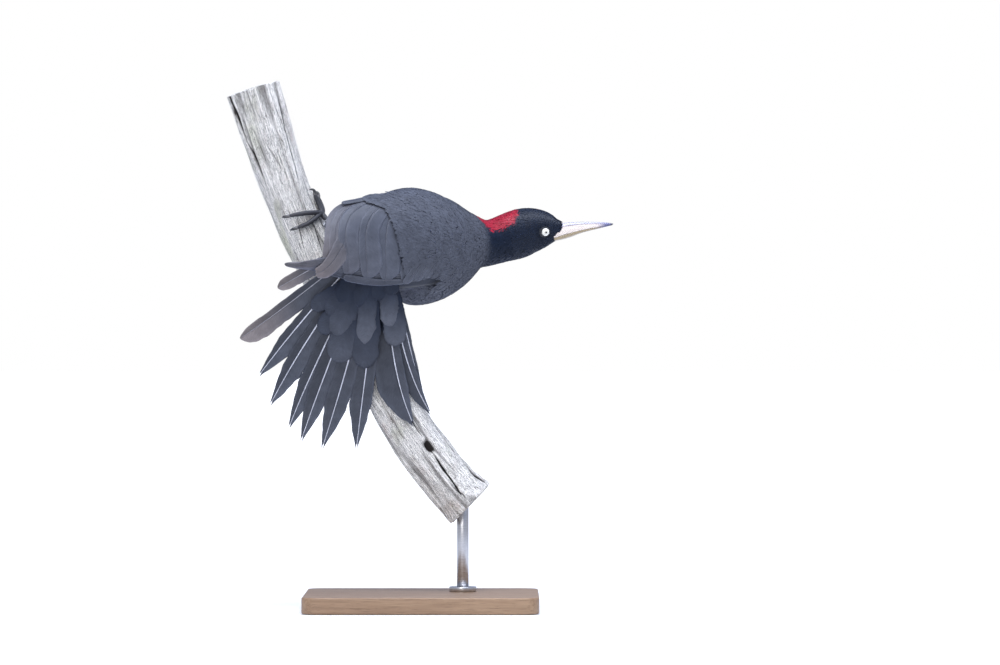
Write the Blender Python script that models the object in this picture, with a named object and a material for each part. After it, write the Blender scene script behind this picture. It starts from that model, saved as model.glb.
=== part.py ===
"""A still, life-size black woodpecker on a cut length of dead branch, held on a plain stand.

The bird clings beside the branch, leans out to its right and presses its fanned tail down against
the wood. All sizes are millimetres in the model's frame, and MM turns them into metres. +Z is up,
+X is the way the bill points, and -Y is the side that shows the bird's back and right wing. The
origin is the centre of the base's underside.
"""

import math

import bmesh
import bpy
import numpy as np

MM = 0.001
GAP = 0.4  # between two pieces that touch, so that no two solids overlap

# Trunk: a level body that heads right and away, rolled so that its back leans towards -Y.
TRUNK_CENTRE = (-11.0, 22.0, 373.0)
HEADING = 38.0
ROLL = 33.0

# Spine stations from the tail root to the bill: place, way to the back, half-width, height above
# the spine and depth below it.
SPINE = (
    ((-55, -19, 299), (-0.15, -0.97, 0.10), 21, 5.5, 6),
    ((-53, -21, 317), (-0.15, -0.94, 0.20), 23, 12, 12),
    ((-49, -17, 336), (-0.15, -0.80, 0.50), 28, 20, 20),
    ((-43, -8, 351), (0.05, -0.62, 0.75), 36, 31, 31),
    ((-30, 5, 365), (0.30, -0.45, 0.84), 44, 43, 46),
    ((-11, 22, 372), (0.335, -0.43, 0.84), 49, 52, 62),
    ((11, 41, 374), (0.335, -0.43, 0.84), 49, 53, 64),
    ((32, 57, 375), (0.335, -0.43, 0.84), 41, 43, 54),
    ((49, 71, 377), (0.24, -0.42, 0.86), 30, 31, 32),
    ((65, 82, 378), (0.10, -0.38, 0.90), 23, 23.5, 26),
    ((80, 89, 381), (0.04, -0.34, 0.93), 21.5, 24, 25),
    ((97, 94, 386), (0.0, -0.30, 0.95), 21, 26, 26),
    ((112, 96.5, 390), (0.0, -0.28, 0.96), 19.5, 24.5, 24),
    ((127, 98, 391), (0.0, -0.26, 0.965), 15, 20, 19),
    ((138, 98.5, 391.0), (0.0, -0.26, 0.965), 9.6, 14, 11.2),
    ((146, 99, 392.5), (0.0, -0.26, 0.965), 5.6, 8, 4.5),
)
RUMP_END, TRUNK_END, NECK_END = 1.6, 8.3, 10.6  # stations at which the body is parted
RINGS_PER_STATION = 3
RING_SIDES = 24
STATION_STEP = 17.0  # the least distance between the stations where the body is parted


def unit(vector):
    """The vector at length one; it works on one vector or on rows of them."""
    vector = np.asarray(vector, float)
    return vector / np.linalg.norm(vector, axis=-1, keepdims=True)


def smooth(values, at):
    """A natural cubic spline through values at 0, 1, 2, ... read at the places in at."""
    values = np.asarray(values, float)
    flat = values.reshape(len(values), -1)
    count = len(flat)
    lhs = np.eye(count)
    rhs = np.zeros_like(flat)
    for i in range(1, count - 1):
        lhs[i, i - 1 : i + 2] = 1, 4, 1
        rhs[i] = 6 * (flat[i - 1] - 2 * flat[i] + flat[i + 1])
    bend = np.linalg.solve(lhs, rhs)
    at = np.asarray(at, float)
    low = np.clip(np.floor(at).astype(int), 0, count - 2)
    b = (at - low)[..., None]
    a = 1 - b
    found = (
        a * flat[low]
        + b * flat[low + 1]
        + ((a**3 - a) * bend[low] + (b**3 - b) * bend[low + 1]) / 6
    )
    return found.reshape(at.shape + values.shape[1:])


def mesh_object(name, points, faces, material, smooth_shade=True):
    """A mesh object from points in millimetres, with its normals made to face outwards."""
    mesh = bpy.data.meshes.new(name)
    mesh.from_pydata((np.asarray(points) * MM).tolist(), [], faces)
    bm = bmesh.new()
    bm.from_mesh(mesh)
    bmesh.ops.remove_doubles(bm, verts=bm.verts, dist=1e-6)
    bmesh.ops.recalc_face_normals(bm, faces=bm.faces)
    bm.to_mesh(mesh)
    bm.free()
    if smooth_shade:
        mesh.shade_smooth()
        mesh.set_sharp_from_angle(angle=math.radians(50))
    made = bpy.data.objects.new(name, mesh)
    bpy.context.scene.collection.objects.link(made)
    mesh.materials.append(material)
    return made


def tube_faces(rings, sides):
    """Quads between closed rings, with a face over each end."""
    faces = [
        (i * sides + j, i * sides + (j + 1) % sides, (i + 1) * sides + (j + 1) % sides, (i + 1) * sides + j)
        for i in range(rings - 1)
        for j in range(sides)
    ]
    faces.append(tuple(range(sides)))
    faces.append(tuple((rings - 1) * sides + j for j in range(sides)))
    return faces


def slab_faces(rows, columns):
    """Quads that close a sheet's two sides, the second of which follows the first in the points."""
    back = rows * columns
    faces = []
    for i in range(rows - 1):
        for j in range(columns - 1):
            a = i * columns + j
            quad = (a, a + 1, a + columns + 1, a + columns)
            faces.append(quad)
            faces.append(tuple(back + k for k in reversed(quad)))
    rim = [j for j in range(columns)]
    rim += [i * columns + columns - 1 for i in range(1, rows)]
    rim += [(rows - 1) * columns + j for j in range(columns - 2, -1, -1)]
    rim += [i * columns for i in range(rows - 2, 0, -1)]
    faces += [
        (a, b, back + b, back + a)
        for a, b in zip(rim, rim[1:] + rim[:1], strict=True)
    ]
    return faces


def paint(name, colour, roughness, metallic=0.0):
    """A Principled material of one colour."""
    material = bpy.data.materials.new(name)
    material.use_nodes = True
    shader = material.node_tree.nodes["Principled BSDF"]
    shader.inputs["Base Color"].default_value = (*colour, 1)
    shader.inputs["Roughness"].default_value = roughness
    shader.inputs["Metallic"].default_value = metallic
    return material


def cut(target, tool, operation="DIFFERENCE"):
    """Applies a Boolean of a hidden tool to the target."""
    modifier = target.modifiers.new("Cut", "BOOLEAN")
    modifier.object = tool
    modifier.operation = operation
    modifier.solver = "EXACT"
    tool.hide_render = True
    tool.display_type = "WIRE"


# ---------------------------------------------------------------------------------------------
# Body


def body_frames(at):
    """Place, ways right and to the back, half-width, height and depth of the body at stations at."""
    place = smooth([s[0] for s in SPINE], at)
    step = 0.02
    ends = np.clip(np.stack([at - step, at + step]), 0, len(SPINE) - 1)
    along = unit(smooth([s[0] for s in SPINE], ends[1]) - smooth([s[0] for s in SPINE], ends[0]))
    back = smooth([unit(s[1]) for s in SPINE], at)
    back = unit(back - (back * along).sum(-1, keepdims=True) * along)
    right = np.cross(along, back)
    sizes = smooth([s[2:] for s in SPINE], at)
    return place, right, back, sizes


def body_points(at, turn, grow=0.0):
    """The body's surface: an oval round the spine, turn running from the back over the right."""
    place, right, back, sizes = body_frames(at)
    half = sizes[..., 0] + grow
    up = np.where(np.cos(turn) > 0, sizes[..., 1], sizes[..., 2]) + grow
    return (
        place
        + (half * np.sin(turn))[..., None] * right
        + (up * np.cos(turn))[..., None] * back
    )


def body_length(name, first, last, material, grow=0.0, sides=RING_SIDES):
    """One closed length of the body between two stations."""
    rings = max(3, round((last - first) * RINGS_PER_STATION))
    at = np.linspace(first, last, rings)[:, None] + np.zeros(sides)
    turn = np.linspace(0, 2 * math.pi, sides, endpoint=False) + np.zeros((rings, 1))
    points = body_points(at, turn, grow).reshape(-1, 3)
    return mesh_object(name, points, tube_faces(rings, sides), material)


def make_body(black, eye_white):
    """Rump, trunk, neck and head, parted by thin cuts, with an eye set into each side."""
    last = len(SPINE) - 1
    half = GAP / 2 / STATION_STEP
    body_length("rump", 0, RUMP_END - half, black)
    body_length("trunk", RUMP_END + half, TRUNK_END - half, black)
    body_length("neck", TRUNK_END + half, NECK_END - half, black)
    head = body_length("head", NECK_END + half, last, black)
    for side, name in ((1, "right"), (-1, "left")):
        centre, _ = eye_place(side)
        ball(f"eye_{name}", centre, EYE_RADIUS, eye_white)
        socket = ball(f"eye_socket_{name}", centre, EYE_RADIUS + GAP, black)
        cut(head, socket)


EYE_STATION, EYE_TURN, EYE_RADIUS, EYE_SET = 12.92, 86.0, 5.2, 3.2


def eye_place(side):
    """Centre of an eye, set into the head, and the way it looks."""
    at, turn = np.array(EYE_STATION), np.array(side * math.radians(EYE_TURN))
    surface = body_points(at, turn)
    place, right, back, _ = body_frames(at)
    out = unit(math.sin(turn) * right + math.cos(turn) * back)
    return surface - EYE_SET * out, out


def ball(name, centre, radius, material, segments=12, rings=8):
    """A small sphere."""
    mesh = bpy.data.meshes.new(name)
    bm = bmesh.new()
    bmesh.ops.create_uvsphere(bm, u_segments=segments, v_segments=rings, radius=radius * MM)
    bm.to_mesh(mesh)
    bm.free()
    mesh.shade_smooth()
    mesh.materials.append(material)
    made = bpy.data.objects.new(name, mesh)
    made.location = np.asarray(centre) * MM
    bpy.context.scene.collection.objects.link(made)
    return made


# ---------------------------------------------------------------------------------------------
# Bill

BILL_ROOT = (137.0, 98.5, 387.0)
BILL_TIP = (199.0, 100.5, 397.4)
BILL_ROLL = 15.0
# Share of the length, half-width, height of the ridge above the gape line and depth of the keel.
BILL = (
    (0.0, 7.2, 10.4, 5.0),
    (0.15, 6.0, 9.8, 5.2),
    (0.35, 4.9, 8.0, 4.4),
    (0.6, 3.5, 5.5, 3.2),
    (0.85, 2.0, 2.6, 1.6),
    (1.0, 0.9, 0.9, 0.6),
)
LOWER_BILL_SHARE = 0.97  # length of the lower bill against the upper one


def make_bill(horn, ivory, clear_of):
    """Upper and lower mandible: flat-sided wedges that meet on the gape line and fit the head."""
    root, tip = np.array(BILL_ROOT), np.array(BILL_TIP)
    along = unit(tip - root)
    lean = math.radians(BILL_ROLL)
    back = np.array([0.0, -math.sin(lean), math.cos(lean)])
    back = unit(back - (back @ along) * along)
    right = np.cross(along, back)
    for name, sign, column, material, share_of in (
        ("bill_upper", 1, 2, horn, 1.0),
        ("bill_lower", -1, 3, ivory, LOWER_BILL_SHARE),
    ):
        points = []
        for station in BILL:
            share, half, height = station[0], station[1], station[column]
            centre = root + share * share_of * (tip - root)
            outline = (
                (-half, GAP / 2),
                (-0.86 * half, 0.45 * height + GAP / 2),
                (-0.32 * half, 0.9 * height + GAP / 2),
                (0.0, height + GAP / 2),
                (0.32 * half, 0.9 * height + GAP / 2),
                (0.86 * half, 0.45 * height + GAP / 2),
                (half, GAP / 2),
            )
            points += [centre + x * right + sign * y * back for x, y in outline]
        made = mesh_object(name, points, tube_faces(len(BILL), 7), material)
        cut(made, clear_of)


# ---------------------------------------------------------------------------------------------
# Wings: each wraps the trunk as part of an oval round the trunk's own axis, and runs on past it.

# Distance ahead of the trunk's centre, half-width and height of the oval, and the angles from the
# back's midline at which the wing's upper and lower edges lie.
WING = (
    (42, 46, 46, 40, 84),
    (22, 53.5, 56, 26, 102),
    (-6, 57.5, 61, 12, 111),
    (-36, 57, 62, 7, 116),
    (-64, 53, 60, 5, 117),
    (-90, 48, 54, 4, 114),
    (-112, 45, 46, 3, 110),
    (-130, 44, 36, 12, 107),
    (-143, 43, 29, 44, 105),
    (-156, 42, 25, 70, 103),
    (-172, 40, 22, 82, 100),
    (-187, 37, 20, 86, 94),
)
WING_DEPTH = (12, 12, 12, 12, 11, 8, 5, 3.4, 2.6, 2.0, 1.5, 1.1)
WING_ROWS, WING_COLUMNS = 21, 8
WING_REACH, WING_REACH_CURVE = 187, 1.5  # how far behind the centre the tip is, and how a tuck grows
WING_CLEAR_FROM, WING_CLEAR_OVER = 20, 70  # where the lower edge starts to rise, and over what run
# The left wing crosses under the right one. At its tip: the way across the back, the way up, the
# shares by which it is narrower and flatter, and how far it is drawn forwards. Its lower edge is
# raised by an angle, clear of the leg.
WING_TUCK = {"right": (0.0, 0.0, 0.0, 0.0, 0.0, 0.0), "left": (62.0, -11.0, 0.25, 0.8, 32.0, 30.0)}


def trunk_axes():
    """Ways forwards, right and to the back of the trunk."""
    turn, roll = math.radians(HEADING), math.radians(ROLL)
    forwards = np.array([math.cos(turn), math.sin(turn), 0.0])
    level = np.array([math.sin(turn), -math.cos(turn), 0.0])
    up = np.array([0.0, 0.0, 1.0])
    back = math.cos(roll) * up + math.sin(roll) * level
    return forwards, np.cross(forwards, back), back


def wing_points(side, along, across, sink=0.0):
    """The wing's outer face. along runs 0 to 11 down the WING table, across 0 to 1 from the lower
    edge to the upper one, and sink is how far below the face the point lies."""
    forwards, right, back = trunk_axes()
    sign = 1 if side == "right" else -1
    sizes = smooth(WING, along)
    far = np.clip(-sizes[..., 0] / WING_REACH, 0, 1) ** WING_REACH_CURVE
    over, lift, narrow, flat, draw, clear = WING_TUCK[side]
    rise = np.clip((WING_CLEAR_FROM - sizes[..., 0]) / WING_CLEAR_OVER, 0, 1)
    lower = sizes[..., 4] - clear * rise
    turn = np.radians(lower + (sizes[..., 3] - lower) * across)
    wide = (sizes[..., 1] * (1 - narrow * far) - sink) * np.sin(turn) - over * far
    high = (sizes[..., 2] * (1 - flat * far) - sink) * np.cos(turn) + lift * far
    ahead = sizes[..., 0] + draw * far
    return (
        np.array(TRUNK_CENTRE)
        + ahead[..., None] * forwards
        + (sign * wide)[..., None] * right
        + high[..., None] * back
    )


def make_wing(side, black, clear_of):
    """One folded wing: a shell on the trunk that thins to a blade of flight feathers."""
    rows, columns = WING_ROWS, WING_COLUMNS
    along = np.linspace(0, len(WING) - 1, rows)[:, None] + np.zeros(columns)
    across = np.linspace(0, 1, columns) + np.zeros((rows, 1))
    sink = smooth([[d] for d in WING_DEPTH], along)[..., 0]
    edge = 0.35 + 0.65 * np.clip(np.minimum(across, 1 - across) * 5, 0, 1)
    outer = wing_points(side, along, across).reshape(-1, 3)
    inner = wing_points(side, along, across, sink * edge).reshape(-1, 3)
    made = mesh_object(
        f"wing_{side}", np.vstack([outer, inner]), slab_faces(rows, columns), black
    )
    for tool in clear_of:
        cut(made, tool)
    return made


# ---------------------------------------------------------------------------------------------
# Tail: twelve stiff feathers, fanned and pressed down.

# The feathers spread from one centre. For each, from the outermost on the bird's left: angle of
# root and tip from straight down (positive to -X), distances of root and tip from the centre,
# widths of the vane on its -X and +X sides, and how far the tip is swung back from the fan.
FAN_CENTRE = (-37.0, 391.0)
TAIL = (
    (60.7, 60.7, 34, 126, 6.5, 8, 5),
    (51.2, 52.7, 34, 187, 6.5, 14, 7),
    (42.1, 40.6, 44, 200, 7.5, 14, 4),
    (35.3, 33.1, 52, 217, 8.5, 14, 2),
    (27.5, 25.8, 60, 228, 9, 13, 1),
    (22.8, 21.6, 60, 235, 11, 12, 0.4),
    (15.3, 16.0, 60, 235, 12, 12, 0),
    (7.8, 7.5, 60, 228, 13, 10, 0.4),
    (-2.2, -8.1, 58, 204, 19, 8.5, 0.5),
    (-7.0, -13.7, 56, 197, 13, 6, 9),
    (-11.0, -12.7, 54, 181, 11, 3.5, 14),
    (-10.5, -12.0, 50, 124, 8, 3.5, 12),
)
TAIL_ROWS, TAIL_COLUMNS = 9, 3
TAIL_DEPTH = 1.2
TAIL_MIDDLE, TAIL_LAYER = 6, 0.22  # the topmost feather, and how far each next one lies behind it
TAIL_PRESSED, TAIL_RAISED = -5.0, 16.0  # where the tips lie along Y, and the roots' rise from it
TAIL_LOW, TAIL_REACH = 214.0, 120.0  # height at which the fan meets the branch, and the slope's


def tail_y(height):
    """The fan's place along Y: it slopes back from its root until it lies on the branch."""
    share = np.clip((height - TAIL_LOW) / TAIL_REACH, 0, 1.4)
    return TAIL_PRESSED - TAIL_RAISED * share**1.2


def vane_width(share, rounded):
    """Share of a tail feather's full width along it: parallel sides, then a drawn-out point."""
    body = np.interp(share, (0, 0.45, 0.70), (0.62, 0.95, 1.0))
    if rounded:
        tip = np.sqrt(np.clip(1 - ((share - 0.70) / 0.303) ** 2, 0, 1))
    else:
        tip = np.interp(share, (0.70, 0.86, 0.95, 1.0), (1.0, 0.56, 0.24, 0.07))
    return body * np.where(share > 0.70, tip, 1.0)


def make_tail(black, clear_of):
    """The fan: one blade for each feather, joined where they overlap."""
    share = np.linspace(0, 1, TAIL_ROWS)
    blades = []
    for number, (at_root, at_tip, root, tip, left, right, swing) in enumerate(TAIL):
        turn = np.radians(at_root + (at_tip - at_root) * share**2)
        reach = root + (tip - root) * share
        shaft = np.array(FAN_CENTRE) - reach[:, None] * np.stack([np.sin(turn), np.cos(turn)], 1)
        side = np.stack([np.cos(turn), -np.sin(turn)], 1)
        width = vane_width(share, number in (0, 1, len(TAIL) - 1))
        spread = np.linspace(-left, right, TAIL_COLUMNS)
        spot = shaft[:, None] + (width[:, None] * spread)[..., None] * side[:, None]
        layer = TAIL_LAYER * abs(number - TAIL_MIDDLE)
        depth = tail_y(spot[..., 1]) + layer + swing * share[:, None] ** 2
        front = np.stack([spot[..., 0], depth, spot[..., 1]], -1).reshape(-1, 3)
        behind = front + np.array([0.0, TAIL_DEPTH, 0.0])
        name = "tail" if number == TAIL_MIDDLE else f"tail_blade_{number}"
        faces = slab_faces(TAIL_ROWS, TAIL_COLUMNS)
        blades.append(mesh_object(name, np.vstack([front, behind]), faces, black))
    fan = blades.pop(TAIL_MIDDLE)
    for blade in blades:
        cut(fan, blade, "UNION")
    for tool in clear_of:
        cut(fan, tool)


# ---------------------------------------------------------------------------------------------
# Perch: a cut length of dead branch. It leans, bows and thickens a little to its lower end.

PERCH_Y = 25.5
PERCH = (
    ((-174, PERCH_Y, 534), 28.5),
    ((-143, PERCH_Y, 441), 24.5),
    ((-108, PERCH_Y, 358), 23.5),
    ((-66, PERCH_Y, 276), 24),
    ((-18, PERCH_Y, 194), 25),
    ((28, PERCH_Y, 132), 27),
    ((50, PERCH_Y, 108), 29),
)
PERCH_RINGS, PERCH_SIDES = 21, 18
PERCH_CHAMFER = 2.0


def perch_frames(at):
    """Place, way along, way to the front, way to the side and radius of the branch."""
    places = [s[0] for s in PERCH]
    place = smooth(places, at)
    ends = np.clip(np.stack([at - 0.02, at + 0.02]), 0, len(PERCH) - 1)
    along = unit(smooth(places, ends[1]) - smooth(places, ends[0]))
    front = np.zeros_like(place) + np.array([0.0, -1.0, 0.0])
    side = np.cross(front, along)
    return place, along, front, side, smooth([[s[1]] for s in PERCH], at)[..., 0]


def perch_points(at, turn, height=0.0):
    """The branch's surface. turn runs from the front (-Y) to the +X side, and height stands off."""
    place, _, front, side, radius = perch_frames(at)
    ridges = 0.045 * np.sin(3 * turn + 1.3 * at) + 0.03 * np.sin(5 * turn - 2.1 * at + 1)
    swell = 0.03 * np.sin(2.3 * at + turn)
    out = radius * (1 + ridges + swell) + height
    return (
        place
        + (out * np.cos(turn))[..., None] * front
        + (out * np.sin(turn))[..., None] * side
    )


def make_perch(wood):
    """The branch with both ends sawn square and their rims eased."""
    last = len(PERCH) - 1
    at = np.concatenate([[0.0], np.linspace(0.03, last - 0.03, PERCH_RINGS), [last]])
    height = np.zeros(len(at))
    height[[0, -1]] = -PERCH_CHAMFER
    turn = np.linspace(0, 2 * math.pi, PERCH_SIDES, endpoint=False)
    points = perch_points(at[:, None] + 0 * turn, turn + 0 * at[:, None], height[:, None])
    return mesh_object(
        "perch", points.reshape(-1, 3), tube_faces(len(at), PERCH_SIDES), wood
    )


# ---------------------------------------------------------------------------------------------
# Legs and feet: two toes forwards and two backwards, as a climbing bird has.

TOE_RADIUS, KNUCKLE_RADIUS, CLAW_LENGTH = 2.3, 2.8, 9.0
TARSUS_RADII = np.array([3.2, 2.7, 2.6, 2.7, 3.0])
THIGH_SHARES, THIGH_RADII = (0, 0.3, 0.8, 1), (15, 13.5, 7, 5.2)
CLAW_RADII = (1.7, 1.6, 1.4, 1.1, 0.75, 0.35)
TOE_CLEAR, SHANK_CLEAR = 0.9, 1.2  # gaps that leave the wood and the knuckle their room
# Each foot: heel on the branch (station, angle), and its toes as (station, angle) steps from it.
FEET = {
    "left": {
        "heel": (1.52, 74),
        "toes": {
            "outer": ((-0.02, -20), (-0.07, -56), (-0.11, -90)),
            "second": ((-0.05, 6), (-0.16, 8), (-0.24, 5)),
            "third": ((-0.03, 16), (-0.11, 26), (-0.20, 30)),
            "hind": ((0.01, -20), (0.05, -52), (0.05, -84)),
        },
        "hip": (-48, 34, 374),
        "ankle": (-82, 2, 381),
    },
    "right": {
        "heel": (2.48, 84),
        "toes": {
            "outer": ((0.0, -18), (-0.02, -50), (-0.05, -80)),
            "second": ((-0.05, 6), (-0.14, 8), (-0.22, 5)),
            "third": ((-0.03, 16), (-0.11, 28), (-0.19, 38)),
            "hind": ((0.04, 16), (0.11, 28), (0.17, 30)),
        },
        "hip": (-36, 18, 338),
        "ankle": (-43, 3, 306),
    },
}


def tube(name, path, radii, material, sides=8):
    """A round tube through points, whose rings stand square to it, with flat ends."""
    path = np.asarray(path, float)
    along = unit(np.gradient(path, axis=0))
    hint = np.array([0.0, -1.0, 0.0])
    across = unit(np.cross(along, hint + 0 * along))
    other = np.cross(along, across)
    turn = np.linspace(0, 2 * math.pi, sides, endpoint=False)
    radii = np.asarray(radii, float)[:, None, None]
    points = (
        path[:, None]
        + radii * np.cos(turn)[:, None] * across[:, None]
        + radii * np.sin(turn)[:, None] * other[:, None]
    )
    return mesh_object(name, points.reshape(-1, 3), tube_faces(len(path), sides), material)


def toe_path(heel, steps, stand_off):
    """Points along a toe that lies on the branch, from the heel out."""
    spots = np.array([(0.0, 0.0), *steps]) + np.array(heel)
    where = smooth(spots, np.linspace(0, len(spots) - 1, 2 * len(spots) - 1))
    return perch_points(where[:, 0], np.radians(where[:, 1]), stand_off)


def claw_path(toe):
    """A hooked claw that goes on from the end of a toe and curves down to the wood."""
    way = unit(toe[-1] - toe[-2])
    centre = perch_centre_near(toe[-1])
    out = unit(toe[-1] - centre)
    out = unit(out - (out @ way) * way)
    share = np.linspace(0, 1, 6)[:, None]
    lift = 1.0 * np.sin(math.pi * share) - 1.6 * share**2
    return toe[-1] + way * (2 * GAP + 0.8 * CLAW_LENGTH * share) + out * lift


def perch_centre_near(point):
    """The point of the branch's centre line nearest a point."""
    at = np.linspace(0, len(PERCH) - 1, 400)
    places = perch_frames(at)[0]
    return places[np.argmin(np.linalg.norm(places - point, axis=1))]


def make_leg(side, black, scaly, claw_horn, clear_of):
    """Feathered thigh, bare tarsus, a foot of four toes in one piece, and four claws."""
    foot = FEET[side]
    stand_off = TOE_RADIUS + TOE_CLEAR
    heel = toe_path(foot["heel"], foot["toes"]["hind"], stand_off)[0]
    hip, ankle = np.array(foot["hip"], float), np.array(foot["ankle"], float)
    share = np.linspace(0, 1, 7)
    swell = np.interp(share, THIGH_SHARES, THIGH_RADII)
    thigh = tube(f"thigh_{side}", hip + share[:, None] * (ankle - hip), swell, black, 12)
    for tool in clear_of:
        cut(thigh, tool)
    way = unit(heel - ankle)
    bottom = heel - way * (GAP + KNUCKLE_RADIUS + SHANK_CLEAR)
    rod = ankle + np.linspace(0, 1, 5)[:, None] * (bottom - ankle)
    tube(f"tarsus_{side}", rod, TARSUS_RADII, scaly)
    rod[0] -= GAP * way
    cut(thigh, tube(f"tarsus_socket_{side}", rod, TARSUS_RADII + GAP, black))
    knuckle = ball(f"foot_{side}", heel, KNUCKLE_RADIUS, scaly, 8, 6)
    for name, steps in foot["toes"].items():
        path = toe_path(foot["heel"], steps, stand_off)
        radii = np.linspace(TOE_RADIUS + 0.3, TOE_RADIUS - 0.5, len(path))
        cut(knuckle, tube(f"toe_{side}_{name}", path, radii, scaly, 6), "UNION")
        tube(f"claw_{side}_{name}", claw_path(path), CLAW_RADII, claw_horn, 6)


# ---------------------------------------------------------------------------------------------
# Stand: a flat base with one rod up into the branch.

BASE_SIZE = (240.0, 190.0, 17.0)
BASE_CORNER, BASE_EASE = 14.0, 1.5
ROD_X, ROD_RADIUS, ROD_TOP, COLLAR_RADIUS, COLLAR_HEIGHT = 42.0, 6.0, 122.0, 14.0, 5.0


def cylinder(name, low, high, radius, material, sides=22):
    """An upright cylinder on the rod's axis, between two heights."""
    turn = np.linspace(0, 2 * math.pi, sides, endpoint=False)
    ring = np.stack([ROD_X + radius * np.cos(turn), PERCH_Y + radius * np.sin(turn)], 1)
    points = [(*spot, z) for z in (low, high) for spot in ring]
    return mesh_object(name, points, tube_faces(2, sides), material)


def make_stand(wood, steel, perch):
    """Base, collar and rod; the rod's top sits in a hole drilled up into the branch."""
    width, depth, height = BASE_SIZE
    corners = []
    for sx, sy, start in ((1, 1, 0), (-1, 1, 90), (-1, -1, 180), (1, -1, 270)):
        for step in range(7):
            turn = math.radians(start + 15 * step)
            corners.append((
                sx * (width / 2 - BASE_CORNER) + BASE_CORNER * math.cos(turn),
                sy * (depth / 2 - BASE_CORNER) + BASE_CORNER * math.sin(turn),
            ))
    outline = np.array(corners)
    shrink = 1 - BASE_EASE / (np.array([width, depth]) / 2)
    rings = (
        (outline * shrink, 0.0),
        (outline, BASE_EASE),
        (outline, height - BASE_EASE),
        (outline * shrink, height),
    )
    points = [(*spot, z) for ring, z in rings for spot in ring]
    mesh_object("stand_base", points, tube_faces(4, len(outline)), wood)
    top = height + GAP
    collar = cylinder("stand_collar", top, top + COLLAR_HEIGHT, COLLAR_RADIUS, steel)
    cut(collar, cylinder("collar_bore", 0, 60, ROD_RADIUS + GAP, steel))
    cylinder("stand_rod", top, ROD_TOP, ROD_RADIUS, steel)
    cut(perch, cylinder("perch_bore", 0, ROD_TOP + GAP, ROD_RADIUS + GAP, steel))


def main():
    """Clears the scene and builds the bird, its perch and its stand."""
    for thing in list(bpy.data.objects):
        bpy.data.objects.remove(thing)
    black = paint("plumage_black", (0.035, 0.037, 0.045), 0.7)
    eye_white = paint("eye", (0.85, 0.83, 0.72), 0.1)
    horn = paint("bill_horn", (0.20, 0.21, 0.25), 0.35)
    ivory = paint("bill_ivory", (0.72, 0.68, 0.58), 0.35)
    scaly = paint("leg_scales", (0.16, 0.17, 0.18), 0.6)
    claw_horn = paint("claw_horn", (0.05, 0.05, 0.05), 0.35)
    dead_wood = paint("dead_wood", (0.62, 0.60, 0.54), 0.9)
    base_wood = paint("base_wood", (0.45, 0.33, 0.22), 0.5)
    steel = paint("steel", (0.6, 0.6, 0.6), 0.3, 1.0)

    make_body(black, eye_white)
    clear_of_head = body_length("clear_of_head", NECK_END + 0.5, len(SPINE) - 1, black, GAP)
    make_bill(horn, ivory, clear_of_head)
    clear = [
        body_length("clear_of_rump", 0, RUMP_END, black, GAP),
        body_length("clear_of_trunk", RUMP_END - 0.02, TRUNK_END + 0.6, black, GAP),
    ]
    for side in ("right", "left"):
        make_wing(side, black, clear)
        make_leg(side, black, scaly, claw_horn, clear)
    make_tail(black, clear)
    perch = make_perch(dead_wood)
    make_stand(base_wood, steel, perch)


main()
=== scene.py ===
"""A still, life-size female black woodpecker, dressed in feathers over one skin.

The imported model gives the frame. One skin replaces the nodes of flesh, and the coat lies over it:
small feathers in tracts, the wings' and tail's large feathers as webs on a shaft. Eyes, bill and
claws are pieces of their own. The bird clings to a cut length of weathered branch on a plain
stand. Sizes are millimetres in the model's frame, and MM turns them into metres.
"""

from __future__ import annotations

import logging
import math
from collections.abc import Sequence
from dataclasses import dataclass, field, replace
from enum import Enum

import bpy
import numpy as np
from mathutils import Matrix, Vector


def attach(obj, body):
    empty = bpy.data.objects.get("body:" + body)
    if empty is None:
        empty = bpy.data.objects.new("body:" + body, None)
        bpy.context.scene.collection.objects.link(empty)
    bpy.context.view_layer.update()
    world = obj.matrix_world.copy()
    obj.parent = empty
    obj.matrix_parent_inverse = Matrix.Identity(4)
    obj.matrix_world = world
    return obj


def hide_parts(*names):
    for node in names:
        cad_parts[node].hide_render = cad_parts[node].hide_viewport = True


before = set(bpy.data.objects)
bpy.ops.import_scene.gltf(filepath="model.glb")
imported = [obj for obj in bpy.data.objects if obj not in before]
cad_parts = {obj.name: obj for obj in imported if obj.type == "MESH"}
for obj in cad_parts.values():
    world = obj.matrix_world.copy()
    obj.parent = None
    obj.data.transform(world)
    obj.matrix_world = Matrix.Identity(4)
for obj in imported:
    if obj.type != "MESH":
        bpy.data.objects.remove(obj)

Array = np.ndarray
MM = 0.001
BODY = "root"
SEED = 1230
log = logging.getLogger("woodpecker")


class Slot(Enum):
    """The record's material slots."""

    PLUMAGE = "plumage"
    EYE = "eye"
    BILL_DARK = "bill_dark"
    BILL_PALE = "bill_pale"
    CLAW = "claw_horn"
    PERCH = "perch_wood"
    BASE = "base_wood"
    STEEL = "rod_steel"


# ---------------------------------------------------------------------------------------------
# Shapes the coat is laid on, in millimetres in the model's frame


def unit(vector: Array) -> Array:
    """The vector, or each row of vectors, at length one."""
    return vector / np.maximum(np.linalg.norm(vector, axis=-1, keepdims=True), 1e-12)


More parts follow.
